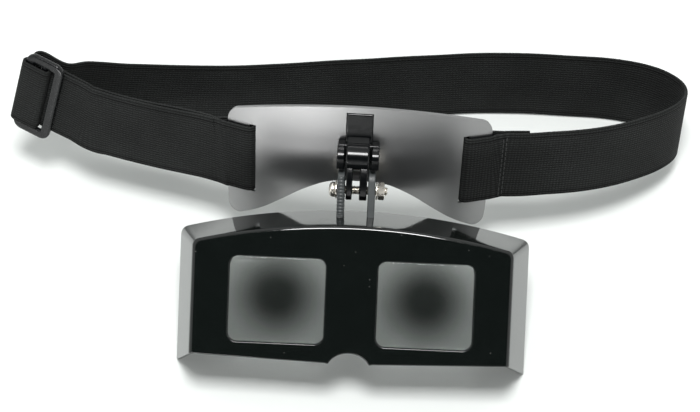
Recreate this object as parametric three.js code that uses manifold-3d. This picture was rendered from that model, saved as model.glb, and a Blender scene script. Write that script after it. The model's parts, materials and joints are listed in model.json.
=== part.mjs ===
// Head visor magnifier: a moulded hood with two square lenses, hinged at its top centre
// to a curved forehead plate that an adjustable elastic band holds on the head.
// Millimetres, +X to the wearer's left as seen from the front, +Y to the back, +Z up.
// It lies as put down on a table: the hood is tipped up and the band slopes down behind.
import * as THREE from 'three';
import { mergeVertices } from 'three/addons/utils/BufferGeometryUtils.js';
import Module from 'manifold-3d';

const wasm = await Module();
wasm.setup();

const GAP = 0.3;              // clearance between neighbouring pieces
const DEG = Math.PI / 180;

// How it lies: both halves turn about the hinge screw, which runs along X.
const PIVOT_HEIGHT = 54.6;
const VISOR_TILT = 54 * DEG;
const BAND_TILT = 22 * DEG;
const BAND_ROLL = 1 * DEG;

// Hood: a front panel that flares back to an open rim. Heights count from the screw.
const FRONT_Y = -26;
const RIM_Y = 8;
const WALL = 2;
const FRONT = { halfWidth: 71, top: -15, sag: 8.85, bottom: -76.5, bottomEnd: -74.4 };
const RIM = { halfWidth: 80.7, top: -9.8, bottomEnd: -82.4 };
const NOTCH = { halfWidth: 9.1, height: 5.1 };

// Lenses: square panes with a flange behind the panel, held by one retainer plate.
const LENS = { x: 33, z: -49.2, width: 43, height: 38.2, corner: 4, flange: 1.7 };
const LENS_FRONT_Y = FRONT_Y + 0.8;
const FLANGE_Y = FRONT_Y + WALL + GAP;
const FLANGE_THICK = 4.3;
const RETAINER = { halfWidth: 64.5, top: -28, bottom: -70.4, thick: 1.6, overlap: 2 };
const BOSS = { x: 60.6, tops: -32.4, bottoms: -66, radius: 3, bore: 1.4 };
const SMALL_SCREW = { shank: 1.1, head: 2.5, headHeight: 1.8, length: 6.2 };

// Hinge: an M4 screw through two ears of the hood and two lugs of the band.
const EAR = { inner: 5.3, outer: 8.6, halfDepth: 5.5, top: 9.6, baseTop: -14.5, baseThick: 1.7 };
const SCREW = { radius: 2, head: 3.5, headHeight: 3, end: 14.2, bore: 2.3 };
const WASHER = { radius: 4.2, thick: 0.7 };
const NUT = { acrossFlats: 7, thick: 3.1 };

// Forehead plate: a curved plate, 1.8 thick, with a slot near each end.
const PLATE = { radius: 170, frontY: 10.1, thick: 1.8, halfWidth: 61 };
const PLATE_TOP = { side: 22, shoulder: 29, crown: 37.8 };
const SLOT = { inner: 47.2, outer: 50.8, bottom: -15.6, top: 21.2, corner: 1.2 };
const WINDOW = { halfWidth: 5.5, bottom: 15.5, top: 33.6 };
const CLIP = { halfWidth: 4.8, lugRadius: 4.6, rollY: 3, rollZ: 16.2, rollRadius: 6.3 };
const LUG = { leftInner: -2, rightInner: 1.3 };
const CHEEK = { inner: 6.1, outer: 9.6, front: -1, bottom: 10.6, top: 23.6 };
const CLIP_ROOT = { front: 5, bottom: 12, top: 21 };
const CLIP_FLANGE = { halfWidth: 8, thick: 1.4, border: 3 };

// Band: woven elastic, 35 wide.
const STRAP = { width: 35, thick: 1.6, centreZ: 2.8 };
const LAYER = STRAP.thick + GAP + 0.05;
const LOOP_CLEAR = PLATE.thick / 2 + GAP + 0.2 + STRAP.thick / 2;
const STITCHING = { width: 1.6, thick: 0.5, margin: 1.5, turn: 10 * DEG };

// Slide buckle: an oblong frame with a centre bar, near the band's left bend.
const BUCKLE = { x: -154.5, y: 47.4, z: 11.3, turn: -18 * DEG, lean: 16 * DEG };
const FRAME = { halfLength: 22.5, halfWidth: 9.8, corner: 3.2, thick: 3, bar: 3.6, centreBar: 3 };
const FIRST_LAYER = FRAME.thick / 2 + 1.15;   // the band's middle behind the buckle's middle
const SECOND_LAYER = FIRST_LAYER + LAYER;
const BEND_RADIUS = 3.1;
const SEWN_LOOP = { thick: 1.4, corner: 1.4 };

const MID_RADIUS = PLATE.radius - PLATE.thick / 2;
const PLATE_CENTRE_Y = PLATE.frontY + PLATE.radius;

// ---- solids ---------------------------------------------------------------------------

function solid(geometry) {
  const bare = geometry.index ? geometry.toNonIndexed() : geometry.clone();
  bare.deleteAttribute('normal');
  bare.deleteAttribute('uv');
  const merged = mergeVertices(bare, 1e-4);
  return new wasm.Manifold(new wasm.Mesh({
    numProp: 3,
    vertProperties: Float32Array.from(merged.attributes.position.array),
    triVerts: Uint32Array.from(merged.index.array),
  }));
}

function geometryOf(body) {
  const mesh = body.getMesh();
  const geometry = new THREE.BufferGeometry();
  geometry.setAttribute('position', new THREE.BufferAttribute(mesh.vertProperties, 3));
  geometry.setIndex(new THREE.BufferAttribute(mesh.triVerts, 1));
  geometry.computeVertexNormals();
  return geometry;
}

function unite(bodies) {
  return bodies.reduce((whole, body) => whole.add(body));
}

function cut(whole, bodies) {
  return bodies.reduce((left, body) => left.subtract(body), whole);
}

function outlineOf(points) {
  return new THREE.Shape(points.map(([a, b]) => new THREE.Vector2(a, b)));
}

// A rectangle with round corners, about its middle.
function roundedRectangle(width, height, radius) {
  const [w, h] = [width / 2, height / 2];
  const shape = new THREE.Shape();
  shape.absarc(w - radius, h - radius, radius, 0, Math.PI / 2);
  shape.absarc(radius - w, h - radius, radius, Math.PI / 2, Math.PI);
  shape.absarc(radius - w, radius - h, radius, Math.PI, 1.5 * Math.PI);
  shape.absarc(w - radius, radius - h, radius, 1.5 * Math.PI, 2 * Math.PI);
  shape.closePath();
  return shape;
}

// An outline drawn on X and Z, carried along Y from front to back.
function throughY(shape, front, back, curveSegments = 6) {
  const geometry = new THREE.ExtrudeGeometry(shape, {
    depth: back - front, bevelEnabled: false, curveSegments,
  });
  geometry.rotateX(Math.PI / 2);
  geometry.translate(0, back, 0);
  return geometry;
}

// An outline drawn on Y and Z, carried along X.
function throughX(shape, from, to, curveSegments = 8) {
  const geometry = new THREE.ExtrudeGeometry(shape, {
    depth: to - from, bevelEnabled: false, curveSegments,
  });
  geometry.rotateX(Math.PI / 2);
  geometry.rotateZ(Math.PI / 2);
  geometry.translate(from, 0, 0);
  return geometry;
}

function box(low, high) {
  const size = high.map((value, axis) => value - low[axis]);
  const geometry = new THREE.BoxGeometry(...size);
  geometry.translate(...low.map((value, axis) => value + size[axis] / 2));
  return geometry;
}

function rodAlongX(radius, from, to, sides = 24) {
  const geometry = new THREE.CylinderGeometry(radius, radius, to - from, sides);
  geometry.rotateZ(Math.PI / 2);
  geometry.translate((from + to) / 2, 0, 0);
  return geometry;
}

function rodAlongY(radius, from, to, sides = 16) {
  const geometry = new THREE.CylinderGeometry(radius, radius, to - from, sides);
  geometry.translate(0, (from + to) / 2, 0);
  return geometry;
}

function piece(name, body, color, roughness, metalness = 0) {
  const geometry = body.isBufferGeometry ? body : geometryOf(body);
  const mesh = new THREE.Mesh(geometry, new THREE.MeshStandardMaterial({ color, roughness, metalness }));
  mesh.name = name;
  return mesh;
}

// ---- hood -----------------------------------------------------------------------------

// The hood's front outline, or the cavity's, where inset is the wall and floor is far below.
function hoodOutline(inset, floor) {
  const w = FRONT.halfWidth - inset;
  const corner = 3;
  const top = FRONT.top - inset;
  const edge = top - FRONT.sag;
  const shape = new THREE.Shape();
  shape.moveTo(w, edge - corner);
  shape.quadraticCurveTo(w, edge, w - corner, edge + corner * 0.25);
  shape.quadraticCurveTo(0, top + FRONT.sag - corner * 0.25, corner - w, edge + corner * 0.25);
  shape.quadraticCurveTo(-w, edge, -w, edge - corner);
  shape.lineTo(-w, floor ?? FRONT.bottomEnd);
  if (floor === undefined) shape.lineTo(0, FRONT.bottom);
  shape.lineTo(w, floor ?? FRONT.bottomEnd);
  shape.closePath();
  return shape;
}

// Moves each point outwards as it goes back, so that the front outline grows into the rim's.
function flare(geometry) {
  const frontMiddle = (FRONT.top + FRONT.bottomEnd) / 2;
  const rimMiddle = (RIM.top + RIM.bottomEnd) / 2;
  const growX = RIM.halfWidth / FRONT.halfWidth - 1;
  const growZ = (RIM.top - RIM.bottomEnd) / (FRONT.top - FRONT.bottomEnd) - 1;
  const position = geometry.attributes.position;
  for (let i = 0; i < position.count; i += 1) {
    const back = (position.getY(i) - FRONT_Y) / (RIM_Y - FRONT_Y);
    const drop = back * (rimMiddle - frontMiddle);
    position.setX(i, position.getX(i) * (1 + growX * back));
    position.setZ(i, frontMiddle + drop + (position.getZ(i) - frontMiddle) * (1 + growZ * back));
  }
  return geometry;
}

function placed(geometry, x, z) {
  return geometry.translate(x, 0, z);
}

const bossPlaces = [-1, 1].flatMap((side) => [BOSS.tops, BOSS.bottoms].map((z) => [side * BOSS.x, z]));

function hoodShell() {
  const outer = solid(flare(throughY(hoodOutline(0), FRONT_Y, RIM_Y, 20)));
  const cavity = solid(flare(throughY(hoodOutline(WALL, -110), FRONT_Y + WALL, RIM_Y + 2, 20)));
  const notch = outlineOf([[-NOTCH.halfWidth - 1, -82], [NOTCH.halfWidth + 1, -82]]);
  notch.lineTo(NOTCH.halfWidth, FRONT.bottom);
  notch.bezierCurveTo(
    NOTCH.halfWidth * 0.6, FRONT.bottom + NOTCH.height * 1.3,
    -NOTCH.halfWidth * 0.6, FRONT.bottom + NOTCH.height * 1.3,
    -NOTCH.halfWidth, FRONT.bottom,
  );
  const windowShape = roundedRectangle(LENS.width, LENS.height, LENS.corner);
  const windows = [-1, 1].map((side) => (
    solid(placed(throughY(windowShape, FRONT_Y - 1, FRONT_Y + WALL + 1), side * LENS.x, LENS.z))
  ));
  const earSlots = [-1, 1].map((side) => {
    const middle = side * (EAR.inner + EAR.outer) / 2;
    const half = (EAR.outer - EAR.inner) / 2 + GAP;
    const depth = EAR.halfDepth + GAP;
    return solid(box([middle - half, -depth, -18], [middle + half, depth, -5]));
  });
  const bossFace = FLANGE_Y + FLANGE_THICK;
  const bosses = bossPlaces.map(([x, z]) => (
    solid(placed(rodAlongY(BOSS.radius, FRONT_Y + WALL - 0.5, bossFace), x, z))
  ));
  const bores = bossPlaces.map(([x, z]) => (
    solid(placed(rodAlongY(BOSS.bore, FRONT_Y + WALL - 0.6, bossFace + 1), x, z))
  ));
  const walls = cut(outer, [cavity, solid(throughY(notch, FRONT_Y - 1, FRONT_Y + WALL + 1)), ...windows]);
  return cut(unite([cut(walls, earSlots), ...bosses]), bores);
}

function lens(side) {
  const pane = roundedRectangle(LENS.width - 2 * GAP, LENS.height - 2 * GAP, LENS.corner);
  const border = 2 * LENS.flange;
  const rim = roundedRectangle(LENS.width + border, LENS.height + border, LENS.corner + 1);
  const whole = solid(throughY(pane, LENS_FRONT_Y, FLANGE_Y + 1))
    .add(solid(throughY(rim, FLANGE_Y, FLANGE_Y + FLANGE_THICK)));
  return geometryOf(whole).translate(side * LENS.x, 0, LENS.z);
}

const RETAINER_Y = FLANGE_Y + FLANGE_THICK + GAP;

function lensRetainer() {
  const middle = (RETAINER.top + RETAINER.bottom) / 2;
  const sheet = roundedRectangle(2 * RETAINER.halfWidth, RETAINER.top - RETAINER.bottom, 4);
  const back = RETAINER_Y + RETAINER.thick;
  const opening = roundedRectangle(
    LENS.width - 2 * RETAINER.overlap, LENS.height - 2 * RETAINER.overlap, LENS.corner - 1,
  );
  const cuts = [-1, 1].map((side) => (
    solid(placed(throughY(opening, RETAINER_Y - 1, back + 1), side * LENS.x, LENS.z))
  ));
  const holes = bossPlaces.map(([x, z]) => (
    solid(placed(rodAlongY(BOSS.bore, RETAINER_Y - 1, back + 1), x, z))
  ));
  return cut(solid(placed(throughY(sheet, RETAINER_Y, back), 0, middle)), [...cuts, ...holes]);
}

function smallScrew() {
  const underHead = RETAINER_Y + RETAINER.thick + GAP;
  const shank = rodAlongY(SMALL_SCREW.shank, underHead - SMALL_SCREW.length, underHead + 0.5, 12);
  return solid(shank)
    .add(solid(rodAlongY(SMALL_SCREW.head, underHead, underHead + SMALL_SCREW.headHeight, 20)));
}

// ---- hinge ----------------------------------------------------------------------------

function earBracket() {
  const shape = new THREE.Shape();
  const archZ = EAR.top - EAR.halfDepth;
  shape.moveTo(EAR.halfDepth, EAR.baseTop - EAR.baseThick);
  shape.lineTo(EAR.halfDepth, archZ);
  shape.absarc(0, archZ, EAR.halfDepth, 0, Math.PI);
  shape.lineTo(-EAR.halfDepth, EAR.baseTop - EAR.baseThick);
  shape.closePath();
  const ears = [
    solid(throughX(shape, EAR.inner, EAR.outer)),
    solid(throughX(shape, -EAR.outer, -EAR.inner)),
  ];
  const base = solid(box(
    [-EAR.outer, -EAR.halfDepth, EAR.baseTop - EAR.baseThick],
    [EAR.outer, EAR.halfDepth, EAR.baseTop],
  ));
  return cut(unite([...ears, base]), [solid(rodAlongX(SCREW.bore, -12, 12))]);
}

const washerStart = EAR.outer + GAP;
const washerEnd = washerStart + WASHER.thick;

function hingeScrew() {
  const face = -(washerEnd + GAP);
  const headShape = outlineOf([[0, 0], [SCREW.head, 0], [SCREW.head, SCREW.headHeight * 0.55]]);
  headShape.quadraticCurveTo(SCREW.head * 0.9, SCREW.headHeight, 0, SCREW.headHeight);
  const head = new THREE.LatheGeometry(headShape.getPoints(6), 24);
  head.rotateZ(Math.PI / 2);
  head.translate(face, 0, 0);
  return solid(head).add(solid(rodAlongX(SCREW.radius, face - 1, SCREW.end)));
}

function ring(radius, from, to, sides = 24) {
  return solid(rodAlongX(radius, from, to, sides)).subtract(solid(rodAlongX(SCREW.bore, from - 1, to + 1)));
}

function hingeNut() {
  return ring(NUT.acrossFlats / 2 / Math.cos(Math.PI / 6), washerEnd + GAP, washerEnd + GAP + NUT.thick, 6);
}

// The clip that the plate holds in its window: tongue, rounded knuckle, two lugs, two cheeks.
function plateClip() {
  const lugShape = new THREE.Shape();
  lugShape.absarc(0, 0, CLIP.lugRadius, Math.PI, 2 * Math.PI);
  lugShape.lineTo(7.5, 12);
  lugShape.lineTo(-3, 14);
  lugShape.closePath();
  const lugs = [
    solid(throughX(lugShape, -CLIP.halfWidth, LUG.leftInner)),
    solid(throughX(lugShape, LUG.rightInner, CLIP.halfWidth)),
  ];
  const roll = rodAlongX(CLIP.rollRadius, -CLIP.halfWidth, CLIP.halfWidth, 28);
  roll.translate(0, CLIP.rollY, CLIP.rollZ);
  const plateFront = PLATE.frontY - GAP;
  const root = box(
    [-CHEEK.outer, CLIP_ROOT.front, CLIP_ROOT.bottom],
    [CHEEK.outer, plateFront, CLIP_ROOT.top],
  );
  const cheekShape = outlineOf([
    [CHEEK.front, CHEEK.bottom], [plateFront, CHEEK.bottom], [plateFront, CHEEK.top],
    [CHEEK.front + 5, CHEEK.top], [CHEEK.front + 1.6, CHEEK.top - 2.1], [CHEEK.front, CHEEK.top - 5.6],
  ]);
  const cheeks = [
    throughX(cheekShape, CHEEK.inner, CHEEK.outer),
    throughX(cheekShape, -CHEEK.outer, -CHEEK.inner),
  ];
  const inside = WINDOW.halfWidth - GAP;
  const behind = PLATE.frontY + PLATE.thick + GAP + 0.2;
  const tongueBack = behind + 0.6;
  const tongue = box(
    [-inside, PLATE.frontY + 0.5, WINDOW.bottom + GAP],
    [inside, tongueBack, WINDOW.top - GAP],
  );
  const neck = box(
    [-inside, CLIP_ROOT.front, WINDOW.bottom + GAP],
    [inside, tongueBack, CLIP_ROOT.top - 1],
  );
  const flange = box(
    [-CLIP_FLANGE.halfWidth, behind, WINDOW.bottom - CLIP_FLANGE.border],
    [CLIP_FLANGE.halfWidth, behind + CLIP_FLANGE.thick, WINDOW.top + CLIP_FLANGE.border],
  );
  const parts = [roll, root, ...cheeks, tongue, neck, flange].map(solid);
  return cut(unite([...lugs, ...parts]), [solid(rodAlongX(SCREW.bore, -6, 6))]);
}

// ---- band -----------------------------------------------------------------------------

function plateOutline() {
  const w = PLATE.halfWidth;
  const { side, shoulder, crown } = PLATE_TOP;
  const half = [
    [0, -1.8], [13, -3], [25, -9], [35, -16.5], [44, -23.2],
    [52, -27.8], [56.5, -29.4], [60, -27], [w, -21],
  ];
  const lower = new THREE.SplineCurve([
    ...half.map(([x, z]) => new THREE.Vector2(-x, z)).reverse(),
    ...half.slice(1).map(([x, z]) => new THREE.Vector2(x, z)),
  ]);
  const shape = new THREE.Shape(lower.getPoints(56));
  shape.lineTo(w, side);
  shape.quadraticCurveTo(w - 0.6, shoulder - 1, w - 6, shoulder);
  shape.bezierCurveTo(38, shoulder + 5.6, 18, crown, 0, crown);
  shape.bezierCurveTo(-18, crown, -38, shoulder + 5.6, 6 - w, shoulder);
  shape.quadraticCurveTo(0.6 - w, shoulder - 1, -w, side);
  shape.closePath();
  return shape;
}

// A point of the plate's middle surface at x, moved outwards to the front by offset.
function platePoint(x, offset) {
  const angle = Math.asin(x / MID_RADIUS);
  const radius = MID_RADIUS + offset;
  const y = PLATE_CENTRE_Y - radius * Math.cos(angle);
  return new THREE.Vector3(radius * Math.sin(angle), y, STRAP.centreZ);
}

function foreheadPlate() {
  const reach = Math.asin(70 / PLATE.radius);
  const arc = new THREE.Shape();
  arc.absarc(0, PLATE_CENTRE_Y, PLATE.radius, -Math.PI / 2 - reach, -Math.PI / 2 + reach);
  const back = PLATE.radius - PLATE.thick;
  arc.absarc(0, PLATE_CENTRE_Y, back, -Math.PI / 2 + reach, -Math.PI / 2 - reach, true);
  arc.closePath();
  const sheet = new THREE.ExtrudeGeometry(arc, { depth: 90, bevelEnabled: false, curveSegments: 28 });
  sheet.translate(0, 0, -40);
  const trimmed = solid(sheet).intersect(solid(throughY(plateOutline(), 0, 60, 8)));
  const slotShape = roundedRectangle(SLOT.outer - SLOT.inner, SLOT.top - SLOT.bottom, SLOT.corner);
  const slots = [-1, 1].map((side) => {
    const x = side * (SLOT.outer + SLOT.inner) / 2;
    return solid(placed(throughY(slotShape, 0, 60), x, (SLOT.top + SLOT.bottom) / 2));
  });
  const opening = box([-WINDOW.halfWidth, 0, WINDOW.bottom], [WINDOW.halfWidth, 20, WINDOW.top]);
  return cut(trimmed, [...slots, solid(opening)]);
}

const buckleEuler = new THREE.Euler(0, BUCKLE.lean, BUCKLE.turn, 'ZYX');

// A point beside the buckle: along its length of travel, behind it, and up.
function besideBuckle(along, behind) {
  return new THREE.Vector3(-along, behind, 0)
    .applyEuler(buckleEuler)
    .add(new THREE.Vector3(BUCKLE.x, BUCKLE.y, BUCKLE.z));
}

// Half a turn of the band through a slot, from behind the plate to its front.
function turnThroughSlot(side) {
  const steps = 5;
  const points = [];
  for (let step = 0; step <= steps; step += 1) {
    const angle = Math.PI * (1 - step / steps);
    const x = SLOT.outer - LOOP_CLEAR * Math.sin(angle);
    points.push(platePoint(side * x, LOOP_CLEAR * Math.cos(angle)));
  }
  return points;
}

function alongPlate(side, offset, places) {
  return places.map((x) => platePoint(side * x, offset));
}

// Points moved sideways in plan, to the left of the way they run.
function besides(points, distance) {
  const curve = new THREE.CatmullRomCurve3(points);
  return points.map((point, i) => {
    const tangent = curve.getTangent(i / (points.length - 1));
    const side = new THREE.Vector3(-tangent.y, tangent.x, 0).normalize();
    return point.clone().addScaledVector(side, distance);
  });
}

// The band's free runs hang level, so they don't share the plate's slight roll.
function levelled(list) {
  return list.map(([x, y, z]) => new THREE.Vector3(x, y, z + x * Math.tan(BAND_ROLL)));
}

// The free runs of the band, as x, y and the height of its middle line.
const RIGHT_START = levelled([[67, 21.8, 2.5], [72, 22.8, 2.2], [78, 24, 1.8]]);
const ROUND_THE_BACK = levelled([
  [88, 26.4, 1.4], [99, 29.2, 1], [112, 33.6, 0.7], [124, 39, 0.4], [135, 46, 0], [145, 54, -0.6],
  [152.5, 63, -1.4], [156.8, 73, -2.2], [156.5, 83, -2.6], [151, 91.5, -2.5], [141, 97.2, -1.6],
  [126, 100.4, -0.8], [100, 101.4, -0.2], [66, 101.2, -0.3], [36, 98.6, -1.3], [6, 95.2, -2.7],
  [-24, 92, -4], [-52, 87, -4.4], [-76, 81.4, -2.6], [-98, 75, 1.2], [-118, 68.6, 5.2], [-136, 63.8, 9],
]);
const LEFT_FRONT = levelled([
  [-66.5, 23.6, 3], [-74, 26.4, 3.2], [-85, 29.4, 3.5], [-98, 32.4, 4], [-111, 35.4, 5], [-122, 38.2, 6.1],
  [-129.5, 41.3, 6.2],
]);

function strapPath() {
  const besideRight = besides([...alongPlate(1, LOOP_CLEAR, [56, 60.5]), ...RIGHT_START], LAYER).slice(2);
  const frontStretch = [20, 15, 10, 5, 0].map((along) => besideBuckle(-along, FIRST_LAYER));
  const farStretch = [0, 5, 10, 15, 20].map((along) => besideBuckle(-along, SECOND_LAYER));
  const behind = besides([...alongPlate(-1, LOOP_CLEAR, [60.5]), ...LEFT_FRONT], -LAYER).slice(1);
  const bendMiddle = SECOND_LAYER + BEND_RADIUS;
  const bend = [0, 45, 90, 135].map((turn) => besideBuckle(
    6 + BEND_RADIUS * Math.sin(turn * DEG),
    bendMiddle + BEND_RADIUS * Math.cos(turn * DEG),
  ));
  return [
    ...besideRight.reverse(),
    ...alongPlate(1, -LOOP_CLEAR, [60.5, 56]),
    ...turnThroughSlot(1),
    ...alongPlate(1, LOOP_CLEAR, [56, 61]),
    ...RIGHT_START,
    ...ROUND_THE_BACK,
    besideBuckle(-6, bendMiddle + BEND_RADIUS),
    ...bend,
    ...farStretch,
    ...behind.reverse(),
    ...alongPlate(-1, -LOOP_CLEAR, [60.5, 56]),
    ...turnThroughSlot(-1),
    ...alongPlate(-1, LOOP_CLEAR, [56, 61]),
    ...LEFT_FRONT,
    ...frontStretch,
  ];
}

const buckleUp = new THREE.Vector3(0, 0, 1).applyEuler(buckleEuler);

// A flat band bent along a curve, which leans with the buckle near its left bend.
function ribbon(curve, steps, thick, width) {
  const geometry = new THREE.BoxGeometry(1, thick, width, steps, 1, 1);
  const position = geometry.attributes.position;
  const across = new THREE.Vector3();
  const up = new THREE.Vector3();
  for (let i = 0; i < position.count; i += 1) {
    const along = Math.min(Math.max(position.getX(i) + 0.5, 0), 1);
    const point = curve.getPoint(along);
    const tangent = curve.getTangent(along);
    up.set(0, 0, 1).lerp(buckleUp, THREE.MathUtils.smoothstep(-point.x, 60, 140));
    up.addScaledVector(tangent, -up.dot(tangent)).normalize();
    across.crossVectors(up, tangent).normalize();
    point.addScaledVector(across, position.getY(i)).addScaledVector(up, position.getZ(i));
    position.setXYZ(i, point.x, point.y, point.z);
  }
  return geometry;
}

function elasticStrap() {
  const path = strapPath();
  const curve = new THREE.CatmullRomCurve3(path, false, 'centripetal');
  return solid(ribbon(curve, 3 * (path.length - 1), STRAP.thick, STRAP.width));
}

// The row of thread that closes the right loop, standing just proud of the band.
function loopStitching() {
  const row = new THREE.BoxGeometry(STITCHING.width, STITCHING.thick, STRAP.width - 2 * STITCHING.margin);
  const place = RIGHT_START[0];
  row.rotateZ(STITCHING.turn);
  row.translate(place.x, place.y - STRAP.thick / 2 - GAP - 0.3, place.z);
  return row;
}

function slideBuckle() {
  const half = FRAME.thick / 2;
  const length = 2 * FRAME.halfLength;
  const outer = throughY(roundedRectangle(2 * FRAME.halfWidth, length, FRAME.corner), -half, half);
  const clear = (2 * FRAME.halfWidth - 2 * FRAME.bar - FRAME.centreBar) / 2;
  const opening = roundedRectangle(clear, STRAP.width + 2, 1);
  const middle = (clear + FRAME.centreBar) / 2;
  const openings = [-1, 1].map((side) => solid(placed(throughY(opening, -3, 3), side * middle, 0)));
  return cut(solid(outer), openings);
}

// The end of the band that is sewn round the buckle's centre bar and travels with it.
function buckleLoop() {
  const halfBar = FRAME.centreBar / 2 + GAP;
  const { thick, corner } = SEWN_LOOP;
  const outer = halfBar + thick;
  const front = -FRAME.thick / 2 - GAP;
  const back = FRAME.thick / 2;
  const shape = outlineOf([[-outer, back], [-outer, front - thick + corner]]);
  shape.quadraticCurveTo(-outer, front - thick, corner - outer, front - thick);
  shape.lineTo(outer - corner, front - thick);
  shape.quadraticCurveTo(outer, front - thick, outer, front - thick + corner);
  shape.lineTo(outer, back);
  shape.lineTo(halfBar, back);
  shape.lineTo(halfBar, front);
  shape.lineTo(-halfBar, front);
  shape.lineTo(-halfBar, back);
  shape.closePath();
  const geometry = new THREE.ExtrudeGeometry(shape, {
    depth: STRAP.width, bevelEnabled: false, curveSegments: 4,
  });
  return geometry.translate(0, 0, -STRAP.width / 2);
}

// ---- assembly -------------------------------------------------------------------------

const BLACK = 0x111513;
const visor = new THREE.Group();
visor.rotation.x = -VISOR_TILT;
visor.position.z = PIVOT_HEIGHT;
visor.add(piece('hood_shell', hoodShell(), BLACK, 0.14));
visor.add(piece('lens_left', lens(-1), 0xb8bdbb, 0.04));
visor.add(piece('lens_right', lens(1), 0xb8bdbb, 0.04));
visor.add(piece('lens_retainer', lensRetainer(), BLACK, 0.4));
bossPlaces.forEach(([x, z], index) => {
  const screw = piece(`retainer_screw_${index + 1}`, smallScrew(), 0xb9bab6, 0.3, 1);
  screw.position.set(x, 0, z);
  visor.add(screw);
});
visor.add(piece('hood_hinge_bracket', earBracket(), 0x6d7170, 0.45));
visor.add(piece('hinge_screw', hingeScrew(), 0xd6d3ca, 0.2, 1));
visor.add(piece('hinge_nut', hingeNut(), 0xd6d3ca, 0.22, 1));
visor.add(piece('nut_washer', ring(WASHER.radius, washerStart, washerEnd), 0xcfccc4, 0.25, 1));
visor.add(piece('screw_washer', ring(WASHER.radius, -washerEnd, -washerStart), 0xcfccc4, 0.25, 1));

const band = new THREE.Group();
band.rotation.set(-BAND_TILT, BAND_ROLL, 0);
band.position.z = PIVOT_HEIGHT;
band.add(piece('forehead_plate', foreheadPlate(), 0x1d2427, 0.16));
band.add(piece('plate_hinge_clip', plateClip(), 0x14181a, 0.2));
band.add(piece('elastic_strap', elasticStrap(), 0x1b1c1d, 0.9));
band.add(piece('loop_stitching', loopStitching(), 0x2a2b2c, 0.8));

const buckle = new THREE.Group();
buckle.rotation.copy(buckleEuler);
buckle.position.set(BUCKLE.x, BUCKLE.y, BUCKLE.z);
buckle.add(piece('slide_buckle', slideBuckle(), 0x17191a, 0.25));
buckle.add(piece('buckle_loop', buckleLoop(), 0x1b1c1d, 0.9));
band.add(buckle);

// The origin is under the middle of the whole, on the table.
const group = new THREE.Group();
group.add(visor, band);
const bounds = new THREE.Box3().setFromObject(group, true);
const middle = bounds.getCenter(new THREE.Vector3());
group.position.set(-middle.x, -middle.y, -bounds.min.z);
export default group;
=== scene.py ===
"""Head visor magnifier: a glossy hood with two square lenses on a curved forehead plate.

Every piece is worked out in millimetres in the frame of its own half, then placed in the row frame
in metres. The visor's and the band's frames have their origin on the hinge screw's axis.
"""
import json
import logging
from dataclasses import dataclass, field
from enum import Enum
from types import MappingProxyType
from typing import Mapping, Sequence

import bmesh
import bpy
import numpy as np
from mathutils import Matrix


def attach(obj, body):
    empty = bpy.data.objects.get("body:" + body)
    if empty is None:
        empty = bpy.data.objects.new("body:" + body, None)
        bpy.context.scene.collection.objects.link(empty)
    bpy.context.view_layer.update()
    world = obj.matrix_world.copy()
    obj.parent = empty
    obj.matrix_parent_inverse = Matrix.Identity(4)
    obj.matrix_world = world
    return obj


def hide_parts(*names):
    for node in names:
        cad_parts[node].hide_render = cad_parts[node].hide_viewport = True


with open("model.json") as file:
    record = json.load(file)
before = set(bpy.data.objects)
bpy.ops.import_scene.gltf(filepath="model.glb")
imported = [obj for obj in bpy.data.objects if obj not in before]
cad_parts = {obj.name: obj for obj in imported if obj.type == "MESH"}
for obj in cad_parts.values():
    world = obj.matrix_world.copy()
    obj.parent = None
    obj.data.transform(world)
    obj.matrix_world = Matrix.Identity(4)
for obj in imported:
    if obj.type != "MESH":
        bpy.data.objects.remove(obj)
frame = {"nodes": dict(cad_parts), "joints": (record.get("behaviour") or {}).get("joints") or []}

LOG = logging.getLogger("head_visor")
MM = 0.001


class Body(Enum):
    """The moving bodies that pieces ride on."""

    HEADBAND = "headband"
    VISOR = "visor"
    BUCKLE = "buckle"


class Axis(Enum):
    """The axis that an outline is carried along."""

    X = 0
    Y = 1


# ---- places ------------------------------------------------------------------------------------


def turn(axis: int, degrees: float) -> np.ndarray:
    """A turn about one coordinate axis, counter-clockwise seen from its positive end.

    Args:
        axis: 0, 1 or 2 for X, Y or Z.
        degrees: The angle.

    Returns:
        The 3 by 3 rotation.
    """
    c, s = np.cos(np.radians(degrees)), np.sin(np.radians(degrees))
    first, second = (axis + 1) % 3, (axis + 2) % 3
    matrix = np.eye(3)
    matrix[first, first] = matrix[second, second] = c
    matrix[first, second], matrix[second, first] = -s, s
    return matrix


@dataclass(frozen=True)
class Place:
    """A local frame in millimetres: a rotation and where its origin is."""

    rotation: np.ndarray
    origin: np.ndarray

    def put(self, points: np.ndarray) -> np.ndarray:
        """Local points as points of the frame around it: rotation times point, plus origin."""
        return points @ self.rotation.T + self.origin

    def inside(self, outer: "Place") -> "Place":
        """This place as seen from the frame that outer stands in."""
        return Place(outer.rotation @ self.rotation, outer.put(self.origin))


PIVOT = np.array(next(j for j in frame["joints"] if j["name"] == "visor_tilt")["pos_m"]) / MM
VISOR = Place(turn(0, -54), PIVOT)
BAND = Place(turn(0, -22) @ turn(1, 1), PIVOT)
BUCKLE_IN_BAND = Place(turn(2, -18) @ turn(1, 16), np.array([-154.5, 47.4, 11.3]))
BUCKLE = BUCKLE_IN_BAND.inside(BAND)


# ---- curves and outlines -----------------------------------------------------------------------


def bezier(points: Sequence[Sequence[float]], steps: int) -> np.ndarray:
    """A Bezier curve of any degree, by repeated mixing of neighbouring control points.

    Args:
        points: The control points.
        steps: How many equal steps of the parameter.

    Returns:
        steps + 1 points.
    """
    t = np.linspace(0, 1, steps + 1)[:, None, None]
    level = np.asarray(points, float)[None] + 0 * t
    while level.shape[1] > 1:
        level = level[:, :-1] * (1 - t) + level[:, 1:] * t
    return level[:, 0]


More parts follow.
